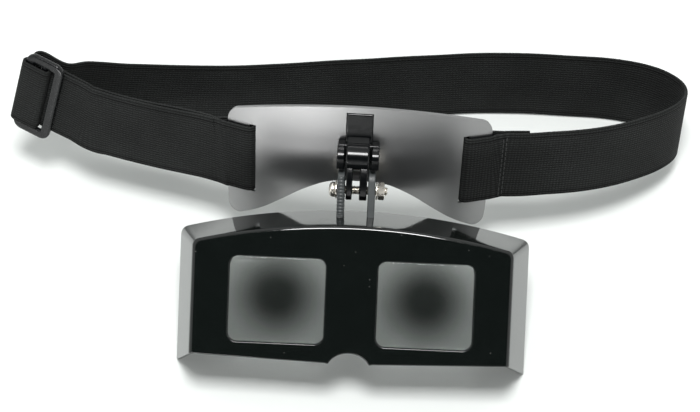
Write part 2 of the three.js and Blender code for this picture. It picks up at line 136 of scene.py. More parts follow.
def through(points: np.ndarray, places: np.ndarray) -> np.ndarray:
    """The centripetal Catmull-Rom curve through points, where knots are spaced by the square root
    of the distance between neighbours and each span is the cubic with matching end slopes.

    Args:
        points: n control points, n by 3 or n by 2.
        places: Parameters from 0 to 1, where control point i is at i / (n - 1).

    Returns:
        One point for each parameter.
    """
    padded = np.vstack([2 * points[0] - points[1], points, 2 * points[-1] - points[-2]])
    position = np.clip(places, 0, 1) * (len(points) - 1)
    span = np.minimum(position.astype(int), len(points) - 2)
    w = (position - span)[:, None]
    p0, p1, p2, p3 = (padded[span + k] for k in range(4))
    gap = [np.sqrt(np.linalg.norm(b - a, axis=1))[:, None] for a, b in ((p0, p1), (p1, p2), (p2, p3))]
    d1 = np.where(gap[1] < 1e-2, 1, gap[1])
    d0 = np.where(gap[0] < 1e-2, d1, gap[0])
    d2 = np.where(gap[2] < 1e-2, d1, gap[2])
    slope1 = ((p1 - p0) / d0 - (p2 - p0) / (d0 + d1) + (p2 - p1) / d1) * d1
    slope2 = ((p2 - p1) / d1 - (p3 - p1) / (d1 + d2) + (p3 - p2) / d2) * d1
    square = -3 * p1 + 3 * p2 - 2 * slope1 - slope2
    cube = 2 * p1 - 2 * p2 + slope1 + slope2
    return p1 + slope1 * w + square * w**2 + cube * w**3


def directions(points: np.ndarray, places: np.ndarray) -> np.ndarray:
    """Unit vectors along the curve through points, from a small central difference."""
    step = 1e-4
    low, high = np.clip(places - step, 0, 1), np.clip(places + step, 0, 1)
    along = through(points, high) - through(points, low)
    return along / np.linalg.norm(along, axis=1, keepdims=True)


def smooth(share: np.ndarray) -> np.ndarray:
    """The smooth step: a share cut to 0 to 1, squared, times three less twice the share."""
    share = np.clip(share, 0, 1)
    return share * share * (3 - 2 * share)


def rounded_rectangle(width: float, height: float, radius: float, steps: int = 8) -> np.ndarray:
    """A rectangle about the origin with a quarter circle at each corner, counter-clockwise.

    Args:
        width: Full size along the first coordinate.
        height: Full size along the second.
        radius: The corners' radius.
        steps: Steps in each quarter circle.

    Returns:
        The outline's points, starting at the middle of the right side.
    """
    w, h = width / 2 - radius, height / 2 - radius
    angle = np.linspace(0, np.pi / 2, steps + 1)
    corners = [
        np.stack([x * w + radius * np.cos(angle + a), y * h + radius * np.sin(angle + a)], axis=1)
        for x, y, a in ((1, 1, 0), (-1, 1, np.pi / 2), (-1, -1, np.pi), (1, -1, 1.5 * np.pi))
    ]
    right, left = [[width / 2, 0]], [[-width / 2, 0]]
    return np.vstack([right, corners[0], corners[1], left, corners[2], corners[3]])


def inset(outline: np.ndarray, distance: float) -> np.ndarray:
    """A closed counter-clockwise outline moved inwards: each point goes along the mean of its two
    edges' inward normals, divided by how well the mean agrees with either edge's normal."""
    edge = np.roll(outline, -1, axis=0) - outline
    edge /= np.linalg.norm(edge, axis=1, keepdims=True)
    normal = np.stack([-edge[:, 1], edge[:, 0]], axis=1)
    mean = normal + np.roll(normal, 1, axis=0)
    mean /= np.linalg.norm(mean, axis=1, keepdims=True)
    agree = np.sum(mean * normal, axis=1, keepdims=True)
    return outline + distance * mean / np.maximum(agree, 0.5)


# ---- shells ------------------------------------------------------------------------------------


@dataclass
class Shell:
    """Collects grids and flat faces in millimetres, then becomes one object in the row frame."""

    points: list[np.ndarray] = field(default_factory=list)
    faces: list[list[int]] = field(default_factory=list)
    count: int = 0

    def keep(self, points: np.ndarray) -> np.ndarray:
        """Stores points and returns their numbers, in the shape of the grid they came in."""
        flat = points.reshape(-1, 3)
        numbers = np.arange(self.count, self.count + len(flat)).reshape(points.shape[:-1])
        self.points.append(flat)
        self.count += len(flat)
        return numbers

    def grid(self, points: np.ndarray, around: bool = False) -> None:
        """Adds a surface.

        Args:
            points: Rows by columns by 3.
            around: True where the last column joins the first.
        """
        numbers = self.keep(points)
        if around:
            numbers = np.concatenate([numbers, numbers[:, :1]], axis=1)
        quads = np.stack([numbers[:-1, :-1], numbers[:-1, 1:], numbers[1:, 1:], numbers[1:, :-1]], axis=-1)
        self.faces.extend(quads.reshape(-1, 4).tolist())

    def face(self, points: np.ndarray) -> None:
        """Adds one flat face with these corners."""
        self.faces.append(self.keep(points).tolist())

    def prism(self, outline: np.ndarray, low: float, high: float, edge: float, axis: Axis) -> None:
        """Adds an outline carried along an axis, its two end edges rounded to a quarter circle.

        Args:
            outline: Counter-clockwise points of the other two coordinates, in order.
            low: Where the prism starts along the axis.
            high: Where it ends.
            edge: The end edges' radius.
            axis: The axis.
        """
        angle = np.linspace(0, np.pi / 2, 4)
        insets = edge * (1 - np.sin(angle))
        steps = edge * (1 - np.cos(angle))
        insets = np.concatenate([insets, insets[::-1]])
        heights = np.concatenate([low + steps, high - steps[::-1]])
        rows = [
            np.insert(inset(outline, distance), axis.value, height, axis=1)
            for distance, height in zip(insets, heights)
        ]
        self.grid(np.stack(rows), around=True)
        self.face(rows[0])
        self.face(rows[-1])

    def lathe(self, profile: np.ndarray, centre: Sequence[float], axis: Axis, sides: int = 48) -> None:
        """Adds a profile turned about an axis.

        Args:
            profile: Rows of place along the axis and radius.
            centre: The axis' other two coordinates.
            axis: The axis.
            sides: Steps round it.
        """
        angle = np.linspace(0, 2 * np.pi, sides, endpoint=False)
        first = centre[0] + profile[:, 1:] * np.cos(angle)
        second = centre[1] + profile[:, 1:] * np.sin(angle)
        along = profile[:, :1] + 0 * angle
        self.grid(np.stack(np.insert([first, second], axis.value, along, axis=0), axis=-1), around=True)

    def mesh(self, name: str, place: Place, closed: bool = True, sharp: float = 0) -> bpy.types.Object:
        """Makes the object, with touching points merged and its faces pointing outwards.

        Args:
            name: The piece's name.
            place: The frame the points are in.
            closed: False for a sheet that keeps the side its faces are drawn on.
            sharp: Edges over this many degrees are shaded sharp, or 0 for none.

        Returns:
            The object, at the origin.
        """
        data = bpy.data.meshes.new(name)
        data.from_pydata((place.put(np.vstack(self.points)) * MM).tolist(), [], self.faces)
        work = bmesh.new()
        work.from_mesh(data)
        bmesh.ops.remove_doubles(work, verts=work.verts, dist=2e-6)
        bmesh.ops.dissolve_degenerate(work, edges=work.edges, dist=1e-7)
        if closed:
            bmesh.ops.recalc_face_normals(work, faces=work.faces)
        work.to_mesh(data)
        work.free()
        piece = new_object(name, data)
        if sharp:
            data.set_sharp_from_angle(angle=np.radians(sharp))
        return piece


def new_object(name: str, data: bpy.types.Mesh) -> bpy.types.Object:
    """Links a smooth-shaded object for a mesh to the scene."""
    data.polygons.foreach_set("use_smooth", [True] * len(data.polygons))
    data.update()
    piece = bpy.data.objects.new(name, data)
    bpy.context.scene.collection.objects.link(piece)
    return piece


def soften(piece: bpy.types.Object, width: float, segments: int = 3, angle: float = 40) -> None:
    """Rounds a piece's sharp edges with a live bevel and keeps its flats flat.

    Args:
        piece: The piece.
        width: The bevel's width in millimetres.
        segments: Steps across it.
        angle: Edges sharper than this many degrees are rounded.
    """
    if width:
        bevel = piece.modifiers.new("edges", "BEVEL")
        bevel.width = width * MM
        bevel.segments = segments
        bevel.limit_method = "ANGLE"
        bevel.angle_limit = np.radians(angle)
    flats = piece.modifiers.new("flats", "WEIGHTED_NORMAL")
    flats.weight = 80


def rounded_copy(node: str, name: str, width: float) -> bpy.types.Object:
    """A copy of a CAD node's mesh with its triangles merged into flats and its edges rounded."""
    data = frame["nodes"][node].data.copy()
    data.materials.clear()
    work = bmesh.new()
    work.from_mesh(data)
    bmesh.ops.remove_doubles(work, verts=work.verts, dist=1e-6)
    bmesh.ops.dissolve_limit(work, angle_limit=np.radians(1), verts=work.verts, edges=work.edges)
    work.to_mesh(data)
    work.free()
    piece = new_object(name, data)
    soften(piece, width)
    return piece


# ---- finishes ----------------------------------------------------------------------------------


def linear(code: str) -> tuple[float, float, float, float]:
    """An sRGB hex colour as linear light, with alpha 1."""
    value = np.array([int(code[i : i + 2], 16) for i in (1, 3, 5)]) / 255
    value = np.where(value <= 0.04045, value / 12.92, ((value + 0.055) / 1.055) ** 2.4)
    return (*value.tolist(), 1.0)


def add(tree: bpy.types.NodeTree, kind: str, inputs: Mapping[str | int, object] = MappingProxyType({}),
        **settings: object) -> bpy.types.Node:
    """Adds a node to a tree.

    Args:
        tree: The material's or world's tree.
        kind: The node's type name.
        inputs: Socket name or number to a value, or to the socket that feeds it.
        settings: The node's own properties.

    Returns:
        The node.
    """
    node = tree.nodes.new(kind)
    for name, value in settings.items():
        setattr(node, name, value)
    for name, value in inputs.items():
        if isinstance(value, bpy.types.NodeSocket):
            tree.links.new(value, node.inputs[name])
        else:
            node.inputs[name].default_value = value
    return node


@dataclass(frozen=True)
class Finish:
    """What every finish has: a name and the record's slot."""

    name: str
    slot: str

    def surface(self, tree: bpy.types.NodeTree) -> bpy.types.Node:
        """The shader node for this finish."""
        raise NotImplementedError

    def material(self) -> bpy.types.Material:
        """The finish as a material, made on its first use."""
        if self.name in bpy.data.materials:
            return bpy.data.materials[self.name]
        made = bpy.data.materials.new(self.name)
        made.use_nodes = True
        tree = made.node_tree
        tree.nodes.clear()
        shader = self.surface(tree)
        add(tree, "ShaderNodeOutputMaterial", {"Surface": shader.outputs[0]})
        return made


@dataclass(frozen=True)
class MouldedPlastic(Finish):
    """Injection-moulded plastic: the mould's polish gives the gloss, with a faint orange peel
    from the flow, soft scuffs where it has been handled and a little dust. The peel's depth and
    the scuffs' size are in millimetres."""

    colour: str
    worn: str
    roughness: float
    scuffed: float
    ior: float = 1.49
    peel: float = 0.004
    dust: float = 0.0
    scuff_size: float = 9.0

    def surface(self, tree: bpy.types.NodeTree) -> bpy.types.Node:
        """Scuffs, broken by grain 1.1 mm across, change gloss and shade. The peel's waves are
        2.5 mm across, and the dust is specks 0.5 mm across, 6 mm apart."""
        place = add(tree, "ShaderNodeTexCoord").outputs["Object"]
        scuffs = add(tree, "ShaderNodeTexNoise", {"Vector": place, "Scale": 1 / (self.scuff_size * MM),
                                                  "Detail": 3.0, "Roughness": 0.5})
        fine = add(tree, "ShaderNodeTexNoise", {"Vector": place, "Scale": 1 / 0.0011, "Detail": 2.0})
        both = add(tree, "ShaderNodeMath", {0: scuffs.outputs["Fac"], 1: fine.outputs["Fac"]},
                   operation="MULTIPLY")
        rough = add(tree, "ShaderNodeMapRange", {"Value": both.outputs[0], "From Min": 0.15, "From Max": 0.42,
                                                 "To Min": self.roughness, "To Max": self.scuffed})
        shade = add(tree, "ShaderNodeMix", {0: both.outputs[0], 6: linear(self.colour), 7: linear(self.worn)},
                    data_type="RGBA")
        specks = add(tree, "ShaderNodeTexVoronoi", {"Vector": place, "Scale": 1 / 0.006, "Randomness": 1.0})
        speck = add(tree, "ShaderNodeMapRange", {"Value": specks.outputs["Distance"], "From Min": 0.035,
                                                 "From Max": 0.05, "To Min": self.dust, "To Max": 0.0})
        dusty = add(tree, "ShaderNodeMix", {0: speck.outputs[0], 6: shade.outputs[2], 7: linear("#B9BAB4")},
                    data_type="RGBA")
        wave = add(tree, "ShaderNodeTexNoise", {"Vector": place, "Scale": 1 / 0.0025, "Detail": 1.0})
        bump = add(tree, "ShaderNodeBump", {"Height": wave.outputs["Fac"], "Strength": 1.0,
                                            "Distance": self.peel * MM})
        return add(tree, "ShaderNodeBsdfPrincipled", {
            "Base Color": dusty.outputs[2], "Roughness": rough.outputs[0], "IOR": self.ior,
            "Normal": bump.outputs[0]})


@dataclass(frozen=True)
class ClearAcrylic(Finish):
    """Polished acrylic with a trace of haze. The pane is nearly flat, and its smoky middle is painted
    shade. It stands for the shaded table seen through a real magnifier there and isn't a real tint."""

    # middle is the painted shade's colour at each lens's middle; rim is the clear acrylic's own colour.
    middle: str
    rim: str
    centre: tuple[float, float, float]
    painted_shade_until: float = 5
    painted_shade_gone_from: float = 27

    def surface(self, tree: bpy.types.NodeTree) -> bpy.types.Node:
        """Haze 14 mm across raises the roughness from 0.01 to 0.06. The painted shade follows the
        distance to the nearer of two points, one in each lens, 2 mm above its middle. It is darkest near
        them and clears towards the rim. The right one is given, in the visor's frame, and the left one
        has its X turned round."""
        place = add(tree, "ShaderNodeTexCoord").outputs["Object"]
        haze = add(tree, "ShaderNodeTexNoise", {"Vector": place, "Scale": 1 / 0.014, "Detail": 4.0})
        rough = add(tree, "ShaderNodeMapRange", {"Value": haze.outputs["Fac"], "From Min": 0.4,
                                                 "From Max": 0.75, "To Min": 0.01, "To Max": 0.06})
        away = [
            add(tree, "ShaderNodeVectorMath", {0: place, 1: tuple(VISOR.put(self.centre * side) * MM)},
                operation="DISTANCE").outputs["Value"]
            for side in (np.array([-1, 1, 1]), np.array([1, 1, 1]))
        ]
        nearer = add(tree, "ShaderNodeMath", {0: away[0], 1: away[1]}, operation="MINIMUM")
        clear = add(tree, "ShaderNodeMapRange", {
            "Value": nearer.outputs[0], "From Min": self.painted_shade_until * MM, "From Max": self.painted_shade_gone_from * MM},
                   interpolation_type="SMOOTHSTEP")
        # Painted shade: dark at each lens's middle, clearing towards its rim.
        shade = add(tree, "ShaderNodeMix", {0: clear.outputs[0], 6: linear(self.middle), 7: linear(self.rim)},
                    data_type="RGBA")
        return add(tree, "ShaderNodeBsdfPrincipled", {
            "Base Color": shade.outputs[2], "Roughness": rough.outputs[0], "IOR": 1.49,
            "Transmission Weight": 1.0})


@dataclass(frozen=True)
class PlatedSteel(Finish):
    """Plated steel: bright and mirror-like, with faint turning marks and a few dull spots."""

    colour: str
    dull: str
    roughness: float

    def surface(self, tree: bpy.types.NodeTree) -> bpy.types.Node:
        """Turning marks 0.4 mm apart across X, spots 1.5 mm across."""
        place = add(tree, "ShaderNodeTexCoord").outputs["Object"]
        spots = add(tree, "ShaderNodeTexNoise", {"Vector": place, "Scale": 1 / 0.0015, "Detail": 4.0})
        shade = add(tree, "ShaderNodeMix", {0: spots.outputs["Fac"], 6: linear(self.colour),
                                            7: linear(self.dull)}, data_type="RGBA")
        rough = add(tree, "ShaderNodeMapRange", {"Value": spots.outputs["Fac"], "From Min": 0.35,
                                                 "From Max": 0.7, "To Min": self.roughness,
                                                 "To Max": self.roughness + 0.15})
        marks = add(tree, "ShaderNodeTexWave", {"Vector": place, "Scale": 0.31 / 0.0004, "Distortion": 2.0})
        bump = add(tree, "ShaderNodeBump", {"Height": marks.outputs["Fac"], "Strength": 1.0,
                                            "Distance": 0.006 * MM})
        return add(tree, "ShaderNodeBsdfPrincipled", {
            "Base Color": shade.outputs[2], "Metallic": 1.0, "Roughness": rough.outputs[0],
            "Normal": bump.outputs[0]})


@dataclass(frozen=True)
class WovenElastic(Finish):
    """Woven elastic: rubber cores under fine yarn make lengthwise ribs, the crossing yarn makes
    short slanted floats on them, and a groove runs beside each edge. It reads the piece's own
    across_mm and along_mm, so the weave follows the band round its bends. The ribs and floats
    are drawn a little coarser than real ones, so that they show."""

    valley_painted_shade: str
    yarn: str
    rib: float = 1.25
    float_length: float = 1.5
    groove: float = 15.4

    def surface(self, tree: bpy.types.NodeTree) -> bpy.types.Node:
        """Height is the rib wave times the slanted float wave, plus fuzz 0.9 mm across, and
        drops in the grooves. Colour runs from near black where the height is low to the yarn's on the
        rib tops, which is painted shade in the valleys and grooves. Wear in patches 30 mm across makes
        the yarn paler."""
        across = add(tree, "ShaderNodeAttribute", attribute_name="across_mm").outputs["Fac"]
        along = add(tree, "ShaderNodeAttribute", attribute_name="along_mm").outputs["Fac"]
        side = add(tree, "ShaderNodeAttribute", attribute_name="outer_side").outputs["Fac"]
        place = add(tree, "ShaderNodeTexCoord").outputs["Object"]
        turns = add(tree, "ShaderNodeMath", {0: across, 1: 2 * np.pi / self.rib}, operation="MULTIPLY")
        wave = add(tree, "ShaderNodeMath", {0: turns.outputs[0]}, operation="COSINE")
        ribs = add(tree, "ShaderNodeMapRange", {"Value": wave.outputs[0], "From Min": -1.0})
        lean = add(tree, "ShaderNodeMapRange", {"Value": side, "From Min": -1.0})
        start = add(tree, "ShaderNodeMath", {0: turns.outputs[0], 1: lean.outputs[0]}, operation="MULTIPLY")
        floats = add(tree, "ShaderNodeMath", {
            0: along, 1: 2 * np.pi / self.float_length, 2: start.outputs[0]}, operation="MULTIPLY_ADD")
        swell = add(tree, "ShaderNodeMath", {0: floats.outputs[0]}, operation="SINE")
        yarn = add(tree, "ShaderNodeMapRange", {"Value": swell.outputs[0], "From Min": -1.0, "To Min": 0.4})
        woven = add(tree, "ShaderNodeMath", {0: ribs.outputs[0], 1: yarn.outputs[0]}, operation="MULTIPLY")
        fuzz = add(tree, "ShaderNodeTexNoise", {"Vector": place, "Scale": 1 / 0.0009, "Detail": 3.0})
        rough = add(tree, "ShaderNodeMath", {0: fuzz.outputs["Fac"], 1: 0.4, 2: woven.outputs[0]},
                    operation="MULTIPLY_ADD")
        aside = add(tree, "ShaderNodeMath", {0: across}, operation="ABSOLUTE")
        past = add(tree, "ShaderNodeMath", {0: aside.outputs[0], 1: self.groove}, operation="SUBTRACT")
        away = add(tree, "ShaderNodeMath", {0: past.outputs[0]}, operation="ABSOLUTE")
        kept = add(tree, "ShaderNodeMapRange", {"Value": away.outputs[0], "From Min": 0.1, "From Max": 0.5})
        height = add(tree, "ShaderNodeMath", {0: rough.outputs[0], 1: kept.outputs[0]},
                     operation="MULTIPLY").outputs[0]
        patches = add(tree, "ShaderNodeTexNoise", {"Vector": place, "Scale": 1 / 0.03, "Detail": 2.0})
        wear = add(tree, "ShaderNodeMapRange", {
            "Value": patches.outputs["Fac"], "To Min": 0.35, "To Max": 1.15})
        amount = add(tree, "ShaderNodeMath", {0: height, 1: wear.outputs[0]}, operation="MULTIPLY")
        # Painted shade in the valleys and grooves comes from the height; real wear comes from the patches.
        shade = add(tree, "ShaderNodeMix", {0: amount.outputs[0], 6: linear(self.valley_painted_shade),
                                            7: linear(self.yarn)}, data_type="RGBA")
        bump = add(tree, "ShaderNodeBump", {"Height": height, "Strength": 1.0, "Distance": 0.3 * MM})
        return add(tree, "ShaderNodeBsdfPrincipled", {
            "Base Color": shade.outputs[2], "Roughness": 0.88, "Sheen Weight": 0.02,
            "Sheen Roughness": 0.4, "Specular IOR Level": 0.15, "Normal": bump.outputs[0]})


@dataclass(frozen=True)
class SewingThread(Finish):
    """Twisted polyester thread: darker between its plies, a soft shine on them."""

    colour: str
    shadow: str

    def surface(self, tree: bpy.types.NodeTree) -> bpy.types.Node:
        """Plies 0.35 mm apart along the diagonal."""
        place = add(tree, "ShaderNodeTexCoord").outputs["Object"]
        plies = add(tree, "ShaderNodeTexWave", {"Vector": place, "Scale": 0.31 / 0.0003, "Distortion": 1.0},
                    bands_direction="DIAGONAL")
        shade = add(tree, "ShaderNodeMix", {0: plies.outputs["Fac"], 6: linear(self.shadow),
                                            7: linear(self.colour)}, data_type="RGBA")
        bump = add(tree, "ShaderNodeBump", {"Height": plies.outputs["Fac"], "Strength": 1.0,
                                            "Distance": 0.05 * MM})
        return add(tree, "ShaderNodeBsdfPrincipled", {
            "Base Color": shade.outputs[2], "Roughness": 0.6, "Normal": bump.outputs[0]})


@dataclass(frozen=True)
class PaleTable(Finish):
    """A pale laminate table: even, with a very soft shine, and painted shade that makes it a little
    greyer in an oval under the object than towards its sides."""

    # middle is the painted shade's colour under the object; outside is the laminate's own colour.
    middle: str
    outside: str

    def surface(self, tree: bpy.types.NodeTree) -> bpy.types.Node:
        """The painted shade is an oval 0.33 m by 0.2 m. It has faded out where the oval reaches
        0.76 m by 0.47 m, a little unevenly."""
        place = add(tree, "ShaderNodeTexCoord").outputs["Object"]
        oval = add(tree, "ShaderNodeMapping", {"Vector": place, "Scale": (0.55, 0.9, 0.0)})
        reach = add(tree, "ShaderNodeVectorMath", {0: oval.outputs[0]}, operation="LENGTH")
        patches = add(tree, "ShaderNodeTexNoise", {"Vector": place, "Scale": 1 / 0.08, "Detail": 2.0})
        uneven = add(tree, "ShaderNodeMath", {0: patches.outputs["Fac"], 1: 0.02, 2: reach.outputs["Value"]},
                     operation="MULTIPLY_ADD")
        painted_shade_fade = add(tree, "ShaderNodeMapRange", {
            "Value": uneven.outputs[0], "From Min": 0.1, "From Max": 0.22})
        # Painted shade: greyer in the oval under the object, the laminate's own colour further out.
        shade = add(tree, "ShaderNodeMix", {0: painted_shade_fade.outputs[0], 6: linear(self.middle),
                                            7: linear(self.outside)}, data_type="RGBA")
        return add(tree, "ShaderNodeBsdfPrincipled", {
            "Base Color": shade.outputs[2], "Roughness": 0.55, "Specular IOR Level": 0.3})


# Polished styrene hood: near black, sharp reflections, some dust.
HOOD = MouldedPlastic(
    "gloss_black_styrene", "hood_gloss", "#090C0B", "#101413", 0.05, 0.12, 1.48, 0.003, 0.12)
# Forehead plate: a hard smoke lacquer whose reflections are far stronger than the hood's and
# a little blurred by handling, so its IOR is set well above a plain plastic's.
PLATE = MouldedPlastic(
    "lacquered_black_sheet", "plate_gloss", "#0E1012", "#141617", 0.33, 0.37, 3.0, 0.002, 0.1, 30.0)
# Hinge clip: glossy, darker than the plate.
CLIP = MouldedPlastic("gloss_black_clip", "clip_gloss", "#050607", "#0B0D0E", 0.16, 0.26, 1.36, 0.004, 0.0)
# Ears: a grey nylon with a dull skin.
BRACKET = MouldedPlastic("grey_nylon", "bracket_grey", "#313536", "#424646", 0.42, 0.6, 1.53, 0.01, 0.0)
# Retainer behind the lenses: black with a satin mould surface.
RETAINER = MouldedPlastic(
    "satin_black_styrene", "retainer_satin", "#0D0F0F", "#191C1B", 0.35, 0.5, 1.57, 0.01, 0.1)
# Slide buckle: acetal, semi-gloss with a waxy look.
ACETAL = MouldedPlastic("black_acetal", "buckle_plastic", "#0A0B0C", "#151718", 0.22, 0.4, 1.38, 0.006, 0.1)
# Lenses: clear acrylic, polished, with painted shade in the middle in place of a magnifier's optics.
LENS = ClearAcrylic("clear_acrylic", "lens_clear", "#4A4E4C", "#D8DBD9", (33, -24.5, -47))
# Hinge screw, nut and washers: nickel's warm white, bright but not quite a mirror.
NICKEL = PlatedSteel("nickel_plated_steel", "nickel_steel", "#F2EFE8", "#D8D2C4", 0.24)
# Retainer screws: zinc, bluer and duller than nickel.
ZINC = PlatedSteel("zinc_plated_steel", "zinc_steel", "#C4C6C4", "#9C9F9D", 0.25)
# Band: matt black yarn over rubber, so only the rib tops catch light; its valleys and grooves get near-black
# painted shade.
ELASTIC = WovenElastic("black_woven_elastic", "elastic_black", "#010101", "#2A2C2B")
# Seam: polyester, a little shinier and greyer than the yarn around it.
THREAD = SewingThread("black_polyester_thread", "thread_black", "#2C2E2D", "#0D0E0E")
# Table: a pale laminate with a very soft shine, which belongs to the studio and has no slot.
# Its middle colour is painted shade under the object.
TABLE = PaleTable("pale_laminate", "", "#D6D9D7", "#FBFCFB")


def dress(piece: bpy.types.Object, finish: Finish, body: Body, *nodes: str) -> bpy.types.Object:
    """Gives a piece its material and body, and hides the CAD nodes it stands for.

    Args:
        piece: The finished piece.
        finish: Its finish.
        body: The body it rides on.
        nodes: The CAD nodes it replaces.

    Returns:
        The piece.
    """
    piece.data.materials.append(finish.material())
    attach(piece, body.value)
    if nodes:
        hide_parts(*nodes)
    LOG.info("%s: %d faces, %s, on %s", piece.name, len(piece.data.polygons), finish.name, body.value)
    return piece


# ---- visor -------------------------------------------------------------------------------------


@dataclass(frozen=True)
class Visor:
    """The hood, its two lenses, the plate that holds them and its four screws."""

    front_y: float = -26
    rim_y: float = 8
    wall: float = 2
    half_width: float = 71
    top: float = -15
    sag: float = 8.85
    bottom: float = -76.5
    bottom_end: float = -74.4
    rim_half_width: float = 80.7
    rim_top: float = -9.8
    rim_bottom: float = -82.4
    corner: float = 3
    notch_half: float = 9.1
    notch_height: float = 5.1
    front_edge: float = 1.5
    rim_edge: float = 0.6
    inner_edge: float = 0.8
    lens_x: float = 33
    lens_z: float = -49.2
    lens_width: float = 43
    lens_height: float = 38.2
    lens_corner: float = 4
    flange: float = 1.7
    flange_thick: float = 4.3
    gap: float = 0.3
    boss_x: float = 60.6
    boss_z: tuple[float, float] = (-32.4, -66)
    boss_radius: float = 3
    boss_bore: float = 1.4
    screw_head: float = 2.5
    screw_height: float = 1.8
    widened: float = 1.7

    @property
    def panel_back(self) -> float:
        """Y of the front panel's back face."""
        return self.front_y + self.wall

    def flare(self, points: np.ndarray) -> np.ndarray:
        """X and Z grow in a straight line from the front outline to the rim's as Y goes back."""
        x, y, z = np.moveaxis(points, -1, 0)
        back = (y - self.front_y) / (self.rim_y - self.front_y)
        middle = (self.top + self.bottom_end) / 2
        rim_middle = (self.rim_top + self.rim_bottom) / 2
        grow_x = self.rim_half_width / self.half_width - 1
        grow_z = (self.rim_top - self.rim_bottom) / (self.top - self.bottom_end) - 1
        lifted = middle + back * (rim_middle - middle) + (z - middle) * (1 + grow_z * back)
        return np.stack([x * (1 + grow_x * back), y, lifted], axis=-1)

    def side_rows(self, top: float) -> np.ndarray:
        """Heights along a side, with one exactly at the lenses' middle."""
        lower = np.linspace(self.bottom_end, self.lens_z, 6)
        return np.concatenate([lower, np.linspace(self.lens_z, top, 6)[1:]])

    def perimeter(self, inwards: float, y: float) -> np.ndarray:
        """The hood's outline at one depth, from the right side's foot over the top to the left.

        Args:
            inwards: How far inside the outer surface.
            y: The depth.

        Returns:
            Points, flared.
        """
        w, top = self.half_width - inwards, self.top - inwards
        edge, c = top - self.sag, self.corner
        heights = self.side_rows(edge - c)
        right = np.stack([np.full_like(heights, w), heights], axis=1)
        rise = c * 0.25
        bend = bezier([(w, edge - c), (w, edge), (w - c, edge + rise)], 6)[1:]
        arch = bezier([(w - c, edge + rise), (0, top + self.sag - rise), (c - w, edge + rise)], 60)
        half = np.vstack([right, bend])
        whole = np.vstack([half, arch[1:-1], half[::-1] * [-1, 1]])
        return self.flare(np.insert(whole, 1, y, axis=1))

    def foot(self, inwards: float, y: float) -> np.ndarray:
        """The panel's lower edge at one depth, from left to right, with the nose notch as a
        Bezier arch between two straight, slightly falling lines."""
        end = self.half_width - inwards
        lift = self.bottom + self.notch_height * 1.3
        n = self.notch_half
        notch = bezier([(-n, self.bottom), (-n * 0.6, lift), (n * 0.6, lift), (n, self.bottom)], 20)
        steps = np.linspace(end, n + 1.5, 14)
        right = np.stack([steps, self.bottom + (self.bottom_end - self.bottom) * steps / end], axis=1)
        line = np.vstack([right * [-1, 1], notch, right[::-1]])
        return self.flare(np.insert(line, 1, y, axis=1))

    def window_ring(self, side: int, y: float) -> np.ndarray:
        """A window's edge at one depth, all the way round."""
        ring = rounded_rectangle(self.lens_width, self.lens_height, self.lens_corner)
        return np.insert(ring + [side * self.lens_x, self.lens_z], 1, y, axis=1)

    def window(self, side: int, y: float) -> tuple[np.ndarray, np.ndarray]:
        """A window's edge as its upper half, left to right, and its lower half, right to left."""
        ring = self.window_ring(side, y)
        half = len(ring) // 2
        return ring[: half + 1][::-1], np.vstack([ring[half:], ring[:1]])[::-1]

    def panel(self, shell: Shell, edge: np.ndarray, foot: np.ndarray, y: float) -> None:
        """Adds one face of the front panel, parted along the lenses' middle line so that neither
        half has a hole in it."""
        right = int(np.argmin(np.abs(edge[: len(edge) // 2, 2] - self.lens_z)))
        left = len(edge) - 1 - right
        (left_up, left_down), (right_up, right_down) = self.window(-1, y), self.window(1, y)
        shell.face(np.vstack([edge[right : left + 1], left_up, right_up]))
        shell.face(np.vstack([edge[left:], foot[1:-1], edge[: right + 1], right_down, left_down]))

    def hood(self) -> bpy.types.Object:
        """The hood: the perimeter carried through a wall profile that is rounded at the front,
        at the rim and inside, closed by the two panel faces, the window walls and the feet."""
        quarter = np.linspace(0, np.pi / 2, 6)
        early, late = 1 - np.sin(quarter), 1 - np.cos(quarter)
        front, rim, inner, wall = self.front_edge, self.rim_edge, self.inner_edge, self.wall
        inwards = [front * early, np.zeros(7), rim * late, wall - rim * early, np.full(7, wall),
                   wall + inner * late]
        depths = [self.front_y + front * late, np.linspace(self.front_y + front, self.rim_y - rim, 9)[1:-1],
                  self.rim_y - rim * early, self.rim_y - rim * late,
                  np.linspace(self.rim_y - rim, self.panel_back + inner, 9)[1:-1],
                  self.panel_back + inner * early]
        profile = np.stack([np.concatenate(inwards), np.concatenate(depths)], axis=1)
        rows = np.stack([self.perimeter(distance, y) for distance, y in profile])
        shell = Shell()
        shell.grid(rows)
        shell.face(rows[:, 0])
        shell.face(rows[:, -1])
        front_foot = self.foot(profile[0, 0], profile[0, 1])
        back_foot = self.foot(profile[-1, 0], profile[-1, 1])
        shell.grid(np.stack([front_foot, back_foot]))
        self.panel(shell, rows[0], front_foot, self.front_y)
        self.panel(shell, rows[-1], back_foot, self.panel_back)
        for side in (-1, 1):
            walls = [self.window_ring(side, y) for y in (self.front_y, self.panel_back)]
            shell.grid(np.stack(walls), around=True)
        boss_face = self.panel_back + self.gap + self.flange_thick
        radii = (self.boss_radius, self.boss_radius, self.boss_bore, self.boss_bore, self.boss_radius)
        depths = (self.panel_back - 0.5, boss_face, boss_face, self.panel_back - 0.5, self.panel_back - 0.5)
        for x, z in self.boss_places():
            shell.lathe(np.stack([depths, radii], axis=1), (x, z), Axis.Y, 32)
        piece = shell.mesh("hood", VISOR)
        soften(piece, 0.45)
        return dress(piece, HOOD, Body.VISOR, "hood_shell")

    def boss_places(self) -> list[tuple[float, float]]:
        """Where the four screws are, as X and Z."""
        return [(side * self.boss_x, z) for side in (-1, 1) for z in self.boss_z]

